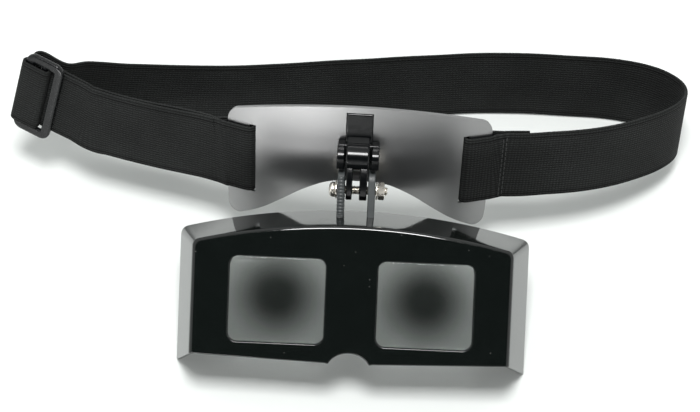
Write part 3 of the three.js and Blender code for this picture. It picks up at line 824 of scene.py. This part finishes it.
    def lens(self, side: int, node: str) -> bpy.types.Object:
        """A lens: rings of a rounded square that rise 0.3 mm to the middle of the front, step out
        to the flange behind the panel, and close over a back that is 0.5 mm hollow there."""
        width, height = self.lens_width - 2 * self.gap, self.lens_height - 2 * self.gap
        face, back = self.front_y + 0.9, self.panel_back + self.gap
        pane = rounded_rectangle(width, height, self.lens_corner)
        out = self.flange + self.gap
        scales = np.linspace(0, 1, 14)[:-1]
        rows = [np.insert(pane * s, 1, face - 0.3 * (1 - s**2), axis=1) for s in scales]
        rows += [np.insert(inset(pane, d), 1, y, axis=1) for d, y in (
            (0.12, face + 0.02), (0.03, face + 0.06), (0, face + 0.15), (0, back), (-out, back),
            (-out, back + self.flange_thick), (0.3, back + self.flange_thick))]
        rows += [np.insert(pane * s, 1, back + self.flange_thick - 0.5 * (1 - s**2), axis=1)
                 for s in 0.96 * scales[::-1]]
        shell = Shell()
        shell.grid(np.stack(rows) + [side * self.lens_x, 0, self.lens_z], around=True)
        piece = shell.mesh(f"pane_{'left' if side < 0 else 'right'}", VISOR, sharp=35)
        return dress(piece, LENS, Body.VISOR, node)

    def retainer(self) -> bpy.types.Object:
        """The plate behind the lenses, its openings widened to just inside the windows, where
        each point of an opening's edge moves outwards by the same step in X and Z."""
        piece = rounded_copy("lens_retainer", "retainer_plate", 0.35)
        count = len(piece.data.vertices)
        points = np.empty(count * 3)
        piece.data.vertices.foreach_get("co", points)
        local = (points.reshape(-1, 3) / MM - VISOR.origin) @ VISOR.rotation
        x = local[:, 0] - np.sign(local[:, 0]) * self.lens_x
        z = local[:, 2] - self.lens_z
        edge = (np.abs(x) < self.lens_width / 2 - 1) & (np.abs(z) < self.lens_height / 2 - 1)
        local[:, 0] += self.widened * np.sign(x) * edge
        local[:, 2] += self.widened * np.sign(z) * edge
        piece.data.vertices.foreach_set("co", (VISOR.put(local) * MM).ravel())
        return dress(piece, RETAINER, Body.VISOR, "lens_retainer")

    def small_screw(self, x: float, z: float, node: str) -> bpy.types.Object:
        """A pan-head screw with a cross recess: the head's height falls with the fourth
        power of the radius, and inside the cross it is lowered by a fixed depth."""
        under = self.panel_back + self.flange_thick + 3 * self.gap + 1.6
        radius = np.linspace(0, self.screw_head, 22)[:, None]
        angle = np.linspace(0, 2 * np.pi, 64, endpoint=False)[None]
        a, b = radius * np.cos(angle), radius * np.sin(angle)
        dome = under + self.screw_height * (1 - 0.55 * (radius / self.screw_head) ** 4) + 0 * angle
        arm = np.minimum(np.abs(a), np.abs(b)) < 0.32
        recess = arm & (np.maximum(np.abs(a), np.abs(b)) < 1.35)
        shell = Shell()
        shell.grid(np.stack([x + a, dome - 0.8 * recess, z + b], axis=-1), around=True)
        rim = under + 0.45 * self.screw_height
        shell.lathe(np.array([[rim, self.screw_head], [under, self.screw_head], [under, 1.1],
                              [under - 5.6, 1.0], [under - 6.2, 0]]), (x, z), Axis.Y, 64)
        piece = shell.mesh(node.replace("retainer_screw", "pan_screw"), VISOR, sharp=50)
        return dress(piece, ZINC, Body.VISOR, node)

    def build(self) -> None:
        """Builds every piece of the visor."""
        self.hood()
        self.lens(-1, "lens_left")
        self.lens(1, "lens_right")
        self.retainer()
        for number, (x, z) in enumerate(self.boss_places(), start=1):
            self.small_screw(x, z, f"retainer_screw_{number}")


@dataclass(frozen=True)
class Hinge:
    """The hood's ears, the screw that passes through them, and its nut and washers."""

    ear_inner: float = 5.3
    ear_outer: float = 8.6
    half_depth: float = 5.5
    ear_top: float = 9.6
    base_top: float = -14.5
    base_thick: float = 1.7
    rib_pitch: float = 1.5
    rib_height: float = 0.35
    washer_radius: float = 4.2
    washer_start: float = 8.9
    washer_end: float = 9.6
    screw_radius: float = 2
    thread_pitch: float = 0.7
    screw_end: float = 14.2
    head_radius: float = 3.5
    head_height: float = 3
    nut_flats: float = 7
    nut_thick: float = 3.1

    def bracket(self) -> bpy.types.Object:
        """Two ears with round tops on a base, and moulded ribs on the left ear's front edge whose
        height is the square root of a sine wave along the ear."""
        foot = self.base_top - self.base_thick
        arch = self.ear_top - self.half_depth
        angle = np.linspace(0, np.pi, 25)
        top = np.stack([self.half_depth * np.cos(angle), arch + self.half_depth * np.sin(angle)], axis=1)
        heights = np.linspace(foot, arch, 8)[:-1]
        outline = np.vstack([
            np.stack([np.full(7, self.half_depth), heights], axis=1), top,
            np.stack([np.full(7, -self.half_depth), heights[::-1]], axis=1)])
        shell = Shell()
        shell.prism(outline, self.ear_inner, self.ear_outer, 0.55, Axis.X)
        shell.prism(outline, -self.ear_outer, -self.ear_inner, 0.55, Axis.X)
        base = rounded_rectangle(2 * self.half_depth, self.base_thick, 0.4, 3)
        shell.prism(base + [0, foot + self.base_thick / 2], -self.ear_outer, self.ear_outer, 0.3, Axis.X)
        z = np.linspace(self.base_top + 3.5, arch + 2.2, 140)[:, None]
        inner, outer = -self.ear_inner, -self.ear_outer
        x = np.array([outer + 0.2, outer + 0.3, inner - 0.3, inner - 0.2])
        wave = np.sqrt(np.abs(np.sin(np.pi * z / self.rib_pitch))) * np.array([0, 1, 1, 0])
        ends = np.ones((140, 1))
        ends[[0, -1]] = 0
        y = -self.half_depth + 0.5 - (0.5 + self.rib_height * wave) * ends
        shell.grid(np.stack([x + 0 * z, y, z + 0 * x], axis=-1))
        piece = shell.mesh("ear_bracket", VISOR)
        soften(piece, 0)
        return dress(piece, BRACKET, Body.VISOR, "hood_hinge_bracket")

    def around_screw(self, shell: Shell, x: np.ndarray, angle: np.ndarray, radius: np.ndarray) -> None:
        """Adds a surface round the screw's axis: X, and the radius at each X and angle."""
        points = [x + 0 * angle, radius * np.cos(angle), radius * np.sin(angle)]
        shell.grid(np.stack(points, axis=-1), around=True)

    def screw(self) -> bpy.types.Object:
        """A pan head over a shank whose radius follows a helical zigzag: it dips by a depth
        that depends on place along the axis plus angle, in threads."""
        face = -(self.washer_end + 0.1)
        angle = np.linspace(0, 2 * np.pi, 40, endpoint=False)[None]
        x = np.linspace(face, self.screw_end - 0.5, 330)[:, None]
        phase = (x / self.thread_pitch + angle / (2 * np.pi)) % 1
        radius = self.screw_radius - 0.3 * (1 - np.abs(2 * phase - 1)) ** 1.2
        shell = Shell()
        self.around_screw(shell, x, angle, radius)
        shell.lathe(np.array([[self.screw_end - 0.5, 1.9], [self.screw_end, 1.45], [self.screw_end, 0]]),
                    (0, 0), Axis.X, 40)
        fall = np.linspace(0, np.pi / 2, 12)
        dome = np.stack([face - 0.45 * self.head_height - 0.55 * self.head_height * np.cos(fall),
                         self.head_radius * np.sin(fall)], axis=1)
        under = np.array([[face - 0.2, self.head_radius], [face, self.head_radius - 0.2], [face, 1.9]])
        shell.lathe(np.vstack([dome, under]), (0, 0), Axis.X, 56)
        piece = shell.mesh("pivot_screw", VISOR, sharp=45)
        return dress(piece, NICKEL, Body.VISOR, "hinge_screw")

    def nut(self) -> bpy.types.Object:
        """A hexagon nut: the radius at each angle is the flat's distance over the cosine of the
        angle from its middle, cut by a cone at both faces."""
        start, end = self.washer_end + 0.15, self.washer_end + 0.15 + self.nut_thick
        angle = np.linspace(0, 2 * np.pi, 96, endpoint=False)[None]
        flat = (angle + np.pi / 6) % (np.pi / 3) - np.pi / 6
        hexagon = self.nut_flats / 2 / np.cos(flat)
        x = np.concatenate([start + np.linspace(0, 0.7, 5), end - np.linspace(0.7, 0, 5)])[:, None]
        cone = self.nut_flats / 2 - 0.1 + 1.7 * np.minimum(x - start, end - x)
        radius = np.minimum(hexagon, cone)
        shell = Shell()
        self.around_screw(shell, x, angle, radius)
        hole = np.array([[start, 2.1], [start + 0.4, 2.02], [end - 0.4, 2.02], [end, 2.3]])
        for edge, bore in hole[[0, -1]]:
            shell.lathe(np.array([[edge, self.nut_flats / 2 - 0.1], [edge, bore]]), (0, 0), Axis.X, 96)
        shell.lathe(hole, (0, 0), Axis.X, 96)
        piece = shell.mesh("hex_nut", VISOR, sharp=25)
        return dress(piece, NICKEL, Body.VISOR, "hinge_nut")

    def washer(self, side: int, node: str) -> bpy.types.Object:
        """A flat washer with rounded outer edges."""
        start, end, r = side * self.washer_start, side * self.washer_end, self.washer_radius
        soft = side * 0.15
        profile = np.array([[start, 2.05], [start, r - 0.15], [start + soft, r], [end - soft, r],
                            [end, r - 0.15], [end, 2.05], [start, 2.05]])
        shell = Shell()
        shell.lathe(profile, (0, 0), Axis.X, 64)
        piece = shell.mesh(f"flat_washer_{'left' if side < 0 else 'right'}", VISOR, sharp=35)
        return dress(piece, NICKEL, Body.VISOR, node)

    def build(self) -> None:
        """Builds every piece of the hinge that stays with the hood."""
        self.bracket()
        self.screw()
        self.nut()
        self.washer(1, "nut_washer")
        self.washer(-1, "screw_washer")


# ---- headband ----------------------------------------------------------------------------------


@dataclass(frozen=True)
class ForeheadPlate:
    """The curved plate with its two slots and window, and the hinge clip in the window."""

    radius: float = 170
    front_y: float = 10.1
    thick: float = 1.8
    half_width: float = 61
    slot: tuple[float, float, float, float] = (47.75, 50.8, -15.6, 21.2)
    window: tuple[float, float, float] = (6.2, 15.5, 34.9)
    lower: tuple[tuple[float, float], ...] = (
        (0, -1.8), (13, -3), (25, -9), (35, -16.5), (44, -23.2), (52, -27.8), (56.5, -29.4), (60, -27),
        (61, -21))
    crown: float = 37.8
    shoulder: float = 29
    side_top: float = 22
    roll_centre: tuple[float, float] = (3, 16.2)
    roll_radius: float = 6.3
    lug_radius: float = 4.6

    def bottom(self, x: np.ndarray) -> np.ndarray:
        """Height of the lower edge at each X, read off a smooth curve through its points."""
        half = np.array(self.lower, float)
        whole = np.vstack([half[:0:-1] * [-1, 1], half])
        curve = through(whole, np.linspace(0, 1, 800))
        return np.interp(x, np.maximum.accumulate(curve[:, 0]), curve[:, 1])

    def top(self, x: np.ndarray) -> np.ndarray:
        """Height of the upper edge at each X: a low crown that falls to round shoulders."""
        w, s = self.half_width, self.shoulder
        crown = bezier([(0, self.crown), (18, self.crown), (38, s + 5.6), (w - 6, s)], 60)
        bend = bezier([(w - 6, s), (w - 0.6, s - 1), (w, self.side_top)], 30)[1:]
        half = np.vstack([crown, bend])
        return np.interp(np.abs(x), half[:, 0], half[:, 1])

    def bend(self, x: np.ndarray, z: np.ndarray) -> np.ndarray:
        """Points on the plate's front face: Y is the centre's minus the square root of the radius
        squared less X squared."""
        y = self.front_y + self.radius - np.sqrt(self.radius**2 - x**2)
        return np.stack([x + 0 * z, y + 0 * z, z + 0 * x], axis=-1)

    def plate(self) -> bpy.types.Object:
        """The plate: three bands of rows, where the two lines between them pass along the ends
        of the slots and of the window, and the cells inside these are left out."""
        inner, outer, slot_low, slot_high = self.slot
        half, window_low, window_high = self.window
        side = np.concatenate([
            np.linspace(0, half, 4), np.linspace(half, inner, 30)[1:], np.linspace(inner, outer, 4)[1:],
            outer + (self.half_width - outer) * np.sin(np.linspace(0, np.pi / 2, 16))[1:]])
        x = np.concatenate([-side[:0:-1], side])
        ease = smooth((np.abs(x) - half) / (inner - half))
        low, high = self.bottom(x), self.top(x)
        first = window_low + (slot_low - window_low) * ease
        second = window_high + (slot_high - window_high) * ease
        part = np.linspace(0, 1, 9)[:, None]
        bands = [low + (first - low) * part, first + (second - first) * part, second + (high - second) * part]
        z = np.vstack([bands[0], bands[1][1:], bands[2][1:]])
        middle = (x[1:] + x[:-1]) / 2
        in_slot = (np.abs(middle) > inner) & (np.abs(middle) < outer)
        in_window = np.abs(middle) < half
        open_cells = np.zeros((z.shape[0] - 1, z.shape[1] - 1), bool)
        open_cells[8:16] = in_slot | in_window
        shell = Shell()
        numbers = shell.keep(self.bend(x[None], z))
        quads = np.stack([numbers[:-1, :-1], numbers[:-1, 1:], numbers[1:, 1:], numbers[1:, :-1]], axis=-1)
        shell.faces.extend(quads[~open_cells].tolist())
        piece = shell.mesh("brow_plate", BAND, closed=False)
        wall = piece.modifiers.new("wall", "SOLIDIFY")
        wall.thickness = self.thick * MM
        wall.offset = -1
        soften(piece, 0.4, 3, 50)
        return dress(piece, PLATE, Body.HEADBAND, "forehead_plate")

    def clip(self) -> bpy.types.Object:
        """The hinge clip: side outlines of a tongue and of the round knuckle below it, carried
        across, with two lugs round the screw, a cheek on each side and a back flange."""
        y0, z0 = self.roll_centre
        angle = np.radians(np.linspace(58, 252, 40))
        roll = [y0, z0] + self.roll_radius * np.stack([np.cos(angle), np.sin(angle)], axis=1)
        face = bezier([(9.7, 34.4), (9.4, 30), (9.6, 26.5), (8.6, 23.6)], 20)
        tongue = np.vstack([[(13, 15.8), (13, 34.7), (10.4, 34.7)], face, [(7.4, 21.5), (7.4, 15.8)]])
        outline = np.vstack([[(12.4, 12.6), (12.4, 24), (9, 23.8)], roll, [(6, 11.4)]])
        shell = Shell()
        shell.prism(tongue, -5.9, 5.9, 0.45, Axis.X)
        shell.prism(outline, -5.4, 5.1, 0.8, Axis.X)
        arc = np.radians(np.linspace(180, 360, 30))
        eye = self.lug_radius * np.stack([np.cos(arc), np.sin(arc)], axis=1)
        lug = np.vstack([eye, [(7, 12), (-2.6, 14)]])
        shell.prism(lug, -4.8, -2, 0.45, Axis.X)
        shell.prism(lug, 1.3, 4.8, 0.45, Axis.X)
        back = self.front_y - 0.3
        cheek = np.vstack([[(back, 10.6), (back, 20.4)], bezier([(4.5, 20.4), (0.2, 20.2), (-1, 16.5)], 10),
                           bezier([(-1, 13), (-1, 10.6), (1.4, 10.6)], 6)])
        for low in (-9.6, 6.1):
            shell.prism(cheek, low, low + 3.5, 0.45, Axis.X)
        root = rounded_rectangle(4.8, 9, 0.6, 3) + [7.4, 16.5]
        shell.prism(root, -9.3, 9.3, 0.3, Axis.X)
        flange = rounded_rectangle(16, 24.1, 2.5) + [0, 24.55]
        shell.prism(flange, 12.4, 13.8, 0.5, Axis.Y)
        piece = shell.mesh("hinge_clip", BAND)
        soften(piece, 0)
        return dress(piece, CLIP, Body.HEADBAND, "plate_hinge_clip")

    def build(self) -> None:
        """Builds the plate and the clip."""
        self.plate()
        self.clip()


@dataclass(frozen=True)
class ElasticBand:
    """One length of woven elastic, sewn back on itself at the right slot, round the back and
    through the left slot, then doubled back to the slide buckle."""

    width: float = 35
    thick: float = 1.6
    centre_z: float = 2.8
    layer: float = 1.95
    loop_clear: float = 2.2
    roll: float = 1
    mid_radius: float = 169.1
    plate_centre: float = 180.1
    slot_outer: float = 50.8
    first_layer: float = 2.65
    bend_radius: float = 3.1
    lean_start: float = 60
    lean_length: float = 80
    right_start: tuple[tuple[float, float, float], ...] = ((67, 21.8, 2.5), (72, 22.8, 2.2), (78, 24, 1.8))
    round_the_back: tuple[tuple[float, float, float], ...] = (
        (88, 26.4, 1.4), (99, 29.2, 1), (112, 33.6, 0.7), (124, 39, 0.4), (135, 46, 0), (145, 54, -0.6),
        (152.5, 63, -1.4), (156.8, 73, -2.2), (156.5, 83, -2.6), (151, 91.5, -2.5), (141, 97.2, -1.6),
        (126, 100.4, -0.8), (100, 101.4, -0.2), (66, 101.2, -0.3), (36, 98.6, -1.3), (6, 95.2, -2.7),
        (-24, 92, -4), (-52, 87, -4.4), (-76, 81.4, -2.6), (-98, 75, 1.2), (-118, 68.6, 5.2), (-136, 63.8, 9))
    left_front: tuple[tuple[float, float, float], ...] = (
        (-66.5, 23.6, 3), (-74, 26.4, 3.2), (-85, 29.4, 3.5), (-98, 32.4, 4), (-111, 35.4, 5),
        (-122, 38.2, 6.1), (-129.5, 41.3, 6.2))

    def on_plate(self, x: float, offset: float) -> np.ndarray:
        """A point at the plate's middle surface moved outwards to the front by offset."""
        angle, radius = np.arcsin(x / self.mid_radius), self.mid_radius + offset
        return np.array([radius * np.sin(angle), self.plate_centre - radius * np.cos(angle), self.centre_z])

    def level(self, places: Sequence[Sequence[float]]) -> np.ndarray:
        """Free runs hang level: each point rises by X times the tangent of the band's roll."""
        points = np.array(places, float)
        points[:, 2] += points[:, 0] * np.tan(np.radians(self.roll))
        return points

    def by_buckle(self, along: float, behind: float) -> np.ndarray:
        """A point beside the buckle: along its travel and behind it."""
        return BUCKLE_IN_BAND.put(np.array([along, behind, 0.0]))

    def beside(self, points: np.ndarray, distance: float) -> np.ndarray:
        """Points moved sideways in plan, to the left of the way they run."""
        tangent = directions(points, np.linspace(0, 1, len(points)))
        side = np.stack([-tangent[:, 1], tangent[:, 0], 0 * tangent[:, 0]], axis=1)
        return points + distance * side / np.linalg.norm(side, axis=1, keepdims=True)

    def through_slot(self, side: int) -> list[np.ndarray]:
        """Half a turn through a slot, from behind the plate to its front."""
        return [
            self.on_plate(side * (self.slot_outer - self.loop_clear * np.sin(a)), self.loop_clear * np.cos(a))
            for a in np.pi * (1 - np.arange(6) / 5)
        ]

    def route(self) -> np.ndarray:
        """The band's middle line, from the sewn end to the end in the buckle."""
        clear, start, front = self.loop_clear, self.level(self.right_start), self.level(self.left_front)
        sewn = [self.on_plate(56, clear), self.on_plate(60.5, clear), start]
        sewn = self.beside(np.vstack(sewn), self.layer)[2:]
        second = self.first_layer + self.layer
        middle = second + self.bend_radius
        bend = [self.by_buckle(-6 - self.bend_radius * np.sin(a), middle + self.bend_radius * np.cos(a))
                for a in np.radians([0, 45, 90, 135])]
        behind = self.beside(np.vstack([self.on_plate(-60.5, clear), front]), -self.layer)[1:]
        return np.vstack([
            sewn[::-1],
            [self.on_plate(x, -clear) for x in (60.5, 56)], self.through_slot(1),
            [self.on_plate(x, clear) for x in (56, 61)], start, self.level(self.round_the_back),
            [self.by_buckle(6, middle + self.bend_radius)], bend,
            [self.by_buckle(a, second) for a in (0, 5, 10, 15, 20)],
            behind[::-1],
            [self.on_plate(-x, -clear) for x in (60.5, 56)], self.through_slot(-1),
            [self.on_plate(-x, clear) for x in (56, 61)], front,
            [self.by_buckle(a, self.first_layer) for a in (20, 15, 10, 5, 0)],
        ])

    def build(self) -> None:
        """Builds the band and its seam."""
        self.band()
        self.seam()

    def band(self) -> bpy.types.Object:
        """The band as a ribbon along its route."""
        route = self.route()
        places = np.linspace(0, 1, 10 * (len(route) - 1) + 1)
        line, tangent = through(route, places), directions(route, places)
        lean = smooth((-line[:, :1] - self.lean_start) / self.lean_length)
        leaning = BUCKLE_IN_BAND.rotation @ np.array([0.0, 0.0, 1.0])
        up = np.array([0.0, 0.0, 1.0]) * (1 - lean) + leaning * lean
        piece, length = ribbon("webbing_band", BAND, line, tangent, up, self.width, self.thick)
        dress(piece, ELASTIC, Body.HEADBAND, "elastic_strap")
        LOG.info("band length %.1f mm", length)
        return piece

    def seam(self) -> bpy.types.Object:
        """The seam that closes the right loop: short stitches in two rows up the band, each an
        ellipsoid drawn out along the row and pulled into the weave at its ends."""
        x, y, z = self.level(self.right_start)[0]
        turned = turn(2, 10)
        stitch = 2.3
        heights = np.arange(-self.width / 2 + 2.2, self.width / 2 - 1.5, stitch + 0.35)
        theta = np.linspace(0, np.pi, 9)[:, None]
        phi = np.linspace(0, 2 * np.pi, 10, endpoint=False)[None]
        body = np.stack([0.3 * np.sin(theta) * np.cos(phi), 0.3 * np.sin(theta) * np.sin(phi),
                         stitch / 2 * np.cos(theta) + 0 * phi], axis=-1)
        shell = Shell()
        for row, shift in ((-0.75, 0.0), (0.75, 0.9)):
            for height in heights:
                centre = np.array([row, -self.thick / 2 - 0.18, height + shift])
                shell.grid((body + centre) @ turned.T + [x, y, z], around=True)
        piece = shell.mesh("loop_seam", BAND)
        return dress(piece, THREAD, Body.HEADBAND, "loop_stitching")


def ribbon(name: str, place: Place, line: np.ndarray, tangent: np.ndarray, up: np.ndarray,
           width: float, thick: float) -> tuple[bpy.types.Object, float]:
    """A woven band along a line: a flat closed section with thin rounded edges, whose axes are
    the line's direction crossed with up, and up made square to the direction.

    Args:
        name: The piece's name.
        place: The frame the line is in.
        line: The middle line's points.
        tangent: Unit directions along it.
        up: Which way the width runs, roughly.
        width: The band's width.
        thick: Its thickness.

    Returns:
        The piece, with across_mm, along_mm and outer_side on its points, and the line's length.
    """
    up = up - tangent * np.sum(up * tangent, axis=1, keepdims=True)
    up /= np.linalg.norm(up, axis=1, keepdims=True)
    across = np.cross(up, tangent)
    along = np.concatenate([[0], np.cumsum(np.linalg.norm(np.diff(line, axis=0), axis=1))])
    half = width / 2
    v = np.concatenate([[-1, -0.995, -0.98, -0.955, -0.945, -0.93], np.linspace(-0.9, 0.9, 19),
                        [0.93, 0.945, 0.955, 0.98, 0.995, 1]])
    edge = np.array([0.3, 0.62, 0.9, 0.95, 0.72, 0.97])
    shape = np.concatenate([edge, np.ones(19), edge[::-1]]) * thick / 2
    section_v = np.concatenate([v, v[::-1]]) * half
    section_t = np.concatenate([shape, -shape[::-1]])
    side = np.concatenate([np.ones(len(v)), -np.ones(len(v))])
    sway = 0.12 * np.sin(along / 7.0) * np.sin(along / 23.0 + 1.0)
    lift = section_v[None] + sway[:, None]
    points = (line[:, None] + across[:, None] * section_t[None, :, None] + up[:, None] * lift[..., None])
    shell = Shell()
    shell.grid(points, around=True)
    numbers = np.arange(points.shape[0] * points.shape[1]).reshape(points.shape[:2])
    shell.faces.append(numbers[0].tolist())
    shell.faces.append(numbers[-1].tolist())
    data = bpy.data.meshes.new(name)
    data.from_pydata((place.put(np.vstack(shell.points)) * MM).tolist(), [], shell.faces)
    grid_shape = points.shape[:2]
    for key, value in (("across_mm", section_v), ("outer_side", side), ("along_mm", along[:, None])):
        spread = np.broadcast_to(value, grid_shape).ravel().astype(np.float32)
        data.attributes.new(key, "FLOAT", "POINT").data.foreach_set("value", spread)
    work = bmesh.new()
    work.from_mesh(data)
    bmesh.ops.recalc_face_normals(work, faces=work.faces)
    work.to_mesh(data)
    work.free()
    return new_object(name, data), float(along[-1])


@dataclass(frozen=True)
class SlideBuckle:
    """The oblong slide buckle and the end of the band that is sewn round its centre bar."""

    half_length: float = 22.5
    half_width: float = 9.8
    corner: float = 4.7
    thick: float = 3
    bar: float = 4.6
    centre_bar: float = 3
    loop_thick: float = 1.4
    band_width: float = 35
    gap: float = 0.3

    def buckle(self) -> bpy.types.Object:
        """The frame: a section, which is a circle made squarer by raising its cosine and sine to
        the power 0.62, carried round an oblong's middle line, with a bar of the same kind across."""
        middle = rounded_rectangle(2 * self.half_width - self.bar, 2 * self.half_length - self.bar,
                                   self.corner - self.bar / 2, 10)
        rows = []
        angle = np.linspace(0, 2 * np.pi, 28, endpoint=False)
        power = 0.62
        flat = np.sign(np.cos(angle)) * np.abs(np.cos(angle)) ** power * self.bar / 2
        deep = np.sign(np.sin(angle)) * np.abs(np.sin(angle)) ** power * self.thick / 2
        for out, y in zip(flat, deep):
            rows.append(np.insert(inset(middle, -out), 1, y, axis=1))
        rows.append(rows[0])
        shell = Shell()
        shell.grid(np.stack(rows), around=True)
        z = np.array([-self.half_length + 1.8, self.half_length - 1.8])
        bar = np.stack([flat * self.centre_bar / self.bar, deep * 0.96], axis=1)
        grid = np.stack([np.insert(bar, 2, height, axis=1) for height in z])
        shell.grid(grid, around=True)
        shell.face(grid[0])
        shell.face(grid[-1])
        piece = shell.mesh("slide_frame", BUCKLE, sharp=50)
        return dress(piece, ACETAL, Body.BUCKLE, "slide_buckle")

    def loop(self) -> bpy.types.Object:
        """The sewn end: a ribbon that comes forward beside the centre bar, lies over its front and
        the left bar's, and turns back round the left bar's outer side."""
        reach = self.centre_bar / 2 + self.gap + self.loop_thick / 2
        outer = -self.half_width - self.gap - self.loop_thick / 2
        front = -self.thick / 2 - self.gap - self.loop_thick / 2
        back = self.thick / 2 - 0.1
        turn_in = 1.3
        points = np.vstack([
            [(reach, back, 0), (reach, 0, 0)],
            bezier([(reach, front + turn_in, 0), (reach, front, 0), (reach - turn_in, front, 0)], 6),
            [(-2.5, front - 0.1, 0), (-6, front - 0.1, 0)],
            bezier([(outer + 2.6, front, 0), (outer + 0.2, front, 0), (outer, front + 2.4, 0)], 8),
            [(outer + 0.1, 0.6, 0), (outer + 0.9, back + 0.7, 0)]]).astype(float)
        places = np.linspace(0, 1, 60)
        up = np.broadcast_to(np.array([0.0, 0.0, 1.0]), (60, 3))
        piece, length = ribbon("sewn_end", BUCKLE, through(points, places), directions(points, places), up,
                               self.band_width, self.loop_thick)
        dress(piece, ELASTIC, Body.BUCKLE, "buckle_loop")
        return piece

    def build(self) -> None:
        """Builds the frame and the sewn end."""
        self.buckle()
        self.loop()


# ---- studio ------------------------------------------------------------------------------------


@dataclass(frozen=True)
class SoftLight:
    """One rectangular soft light that faces a point."""

    name: str
    place: tuple[float, float, float]
    size: tuple[float, float]
    power: float
    target: tuple[float, float, float] = (0.0, 0.0, 0.02)

    def build(self) -> None:
        """Adds the light."""
        lamp = bpy.data.lights.new(self.name, "AREA")
        lamp.shape = "RECTANGLE"
        lamp.size, lamp.size_y = self.size
        lamp.energy = self.power
        back = np.array(self.place) - self.target
        stand(self.name, lamp, np.array(self.place), back, 0.0)


def stand(name: str, data: bpy.types.ID, place: np.ndarray, back: np.ndarray,
          roll: float) -> bpy.types.Object:
    """Puts a light or camera in the scene so that its -Z looks against back, with Z up in view.

    Args:
        name: The object's name.
        data: The light or camera.
        place: Where it stands, in metres.
        back: From what it looks at towards itself.
        roll: Degrees that its right side turns up.

    Returns:
        The object.
    """
    back = back / np.linalg.norm(back)
    right = np.cross([0.0, 0.0, 1.0], back)
    right /= np.linalg.norm(right)
    up = np.cross(back, right)
    c, s = np.cos(np.radians(roll)), np.sin(np.radians(roll))
    turned = np.stack([c * right + s * up, -s * right + c * up, back], axis=1)
    matrix = np.eye(4)
    matrix[:3, :3], matrix[:3, 3] = turned, place
    holder = bpy.data.objects.new(name, data)
    holder.matrix_world = Matrix(matrix.tolist())
    bpy.context.scene.collection.objects.link(holder)
    return holder


@dataclass(frozen=True)
class Studio:
    """The table, the lights, the pale room, dark around the camera, and the camera itself, whose
    target is given from the hinge screw's middle."""

    distance: float = 0.8
    elevation: float = 57
    azimuth: float = 2.49
    roll: float = 0.3
    target: tuple[float, float, float] = (-0.00348, 0.01362, -0.03445)
    lens: float = 85.9
    walls: str = "#F4F6F5"
    ceiling: str = "#1C1E1F"
    dome: float = 1.05
    dark_from: float = 0.7
    dark_full: float = 0.9
    table_half: float = 2.6
    table_height: float = -0.0002
    lights: tuple[SoftLight, ...] = (
        SoftLight("key_front", (0.0, -0.16, 1.3), (0.35, 0.35), 17.0),
        SoftLight("low_front_left", (-0.38, -0.88, 0.15), (0.55, 0.12), 4.5, (-0.04, 0.0, 0.06)),
    )

    def away(self) -> np.ndarray:
        """The way from the target to the camera, one long."""
        a, e = np.radians(self.azimuth), np.radians(self.elevation)
        return np.array([np.sin(a) * np.cos(e), -np.cos(a) * np.cos(e), np.sin(e)])

    def camera(self) -> None:
        """The camera, made first."""
        data = bpy.data.cameras.new("camera")
        data.lens, data.sensor_width = self.lens, 36.0
        data.clip_start, data.clip_end = 0.01, 20.0
        back = self.away()
        place = PIVOT * MM + self.target + self.distance * back
        bpy.context.scene.camera = stand("camera", data, place, back, self.roll)

    def build(self) -> None:
        """The table, the lights and the room."""
        data = bpy.data.meshes.new("table")
        corners = [(x * self.table_half, y * self.table_half, self.table_height)
                   for x, y in ((-1, -1), (1, -1), (1, 1), (-1, 1))]
        data.from_pydata(corners, [], [(0, 1, 2, 3)])
        table = new_object("table", data)
        table.data.materials.append(TABLE.material())
        for light in self.lights:
            light.build()
        self.room()
        bpy.context.scene.view_settings.view_transform = "Standard"
        bpy.context.scene.view_settings.exposure = 0.0

    def room(self) -> None:
        """The room: pale walls, mixed towards the dark ceiling as the way looked in agrees with
        the way to the camera made here. The dark stays in place when the view turns."""
        world = bpy.data.worlds.new("room")
        bpy.context.scene.world = world
        world.use_nodes = True
        tree = world.node_tree
        tree.nodes.clear()
        way = add(tree, "ShaderNodeTexCoord").outputs["Generated"]
        facing = add(tree, "ShaderNodeVectorMath", {0: way, 1: tuple(self.away())}, operation="DOT_PRODUCT")
        near = add(tree, "ShaderNodeMapRange", {
            "Value": facing.outputs["Value"], "From Min": self.dark_from, "From Max": self.dark_full})
        mixed = add(tree, "ShaderNodeMix", {0: near.outputs[0], 6: linear(self.walls),
                                            7: linear(self.ceiling)}, data_type="RGBA")
        glow = add(tree, "ShaderNodeBackground", {"Color": mixed.outputs[2], "Strength": self.dome})
        add(tree, "ShaderNodeOutputWorld", {"Surface": glow.outputs[0]})


def main() -> None:
    """Builds the scene."""
    logging.basicConfig(level=logging.INFO, format="%(name)s: %(message)s")
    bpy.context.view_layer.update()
    studio = Studio()
    studio.camera()
    for assembly in (studio, Visor(), Hinge(), ForeheadPlate(), ElasticBand(), SlideBuckle()):
        assembly.build()


if __name__ == "__main__":
    main()
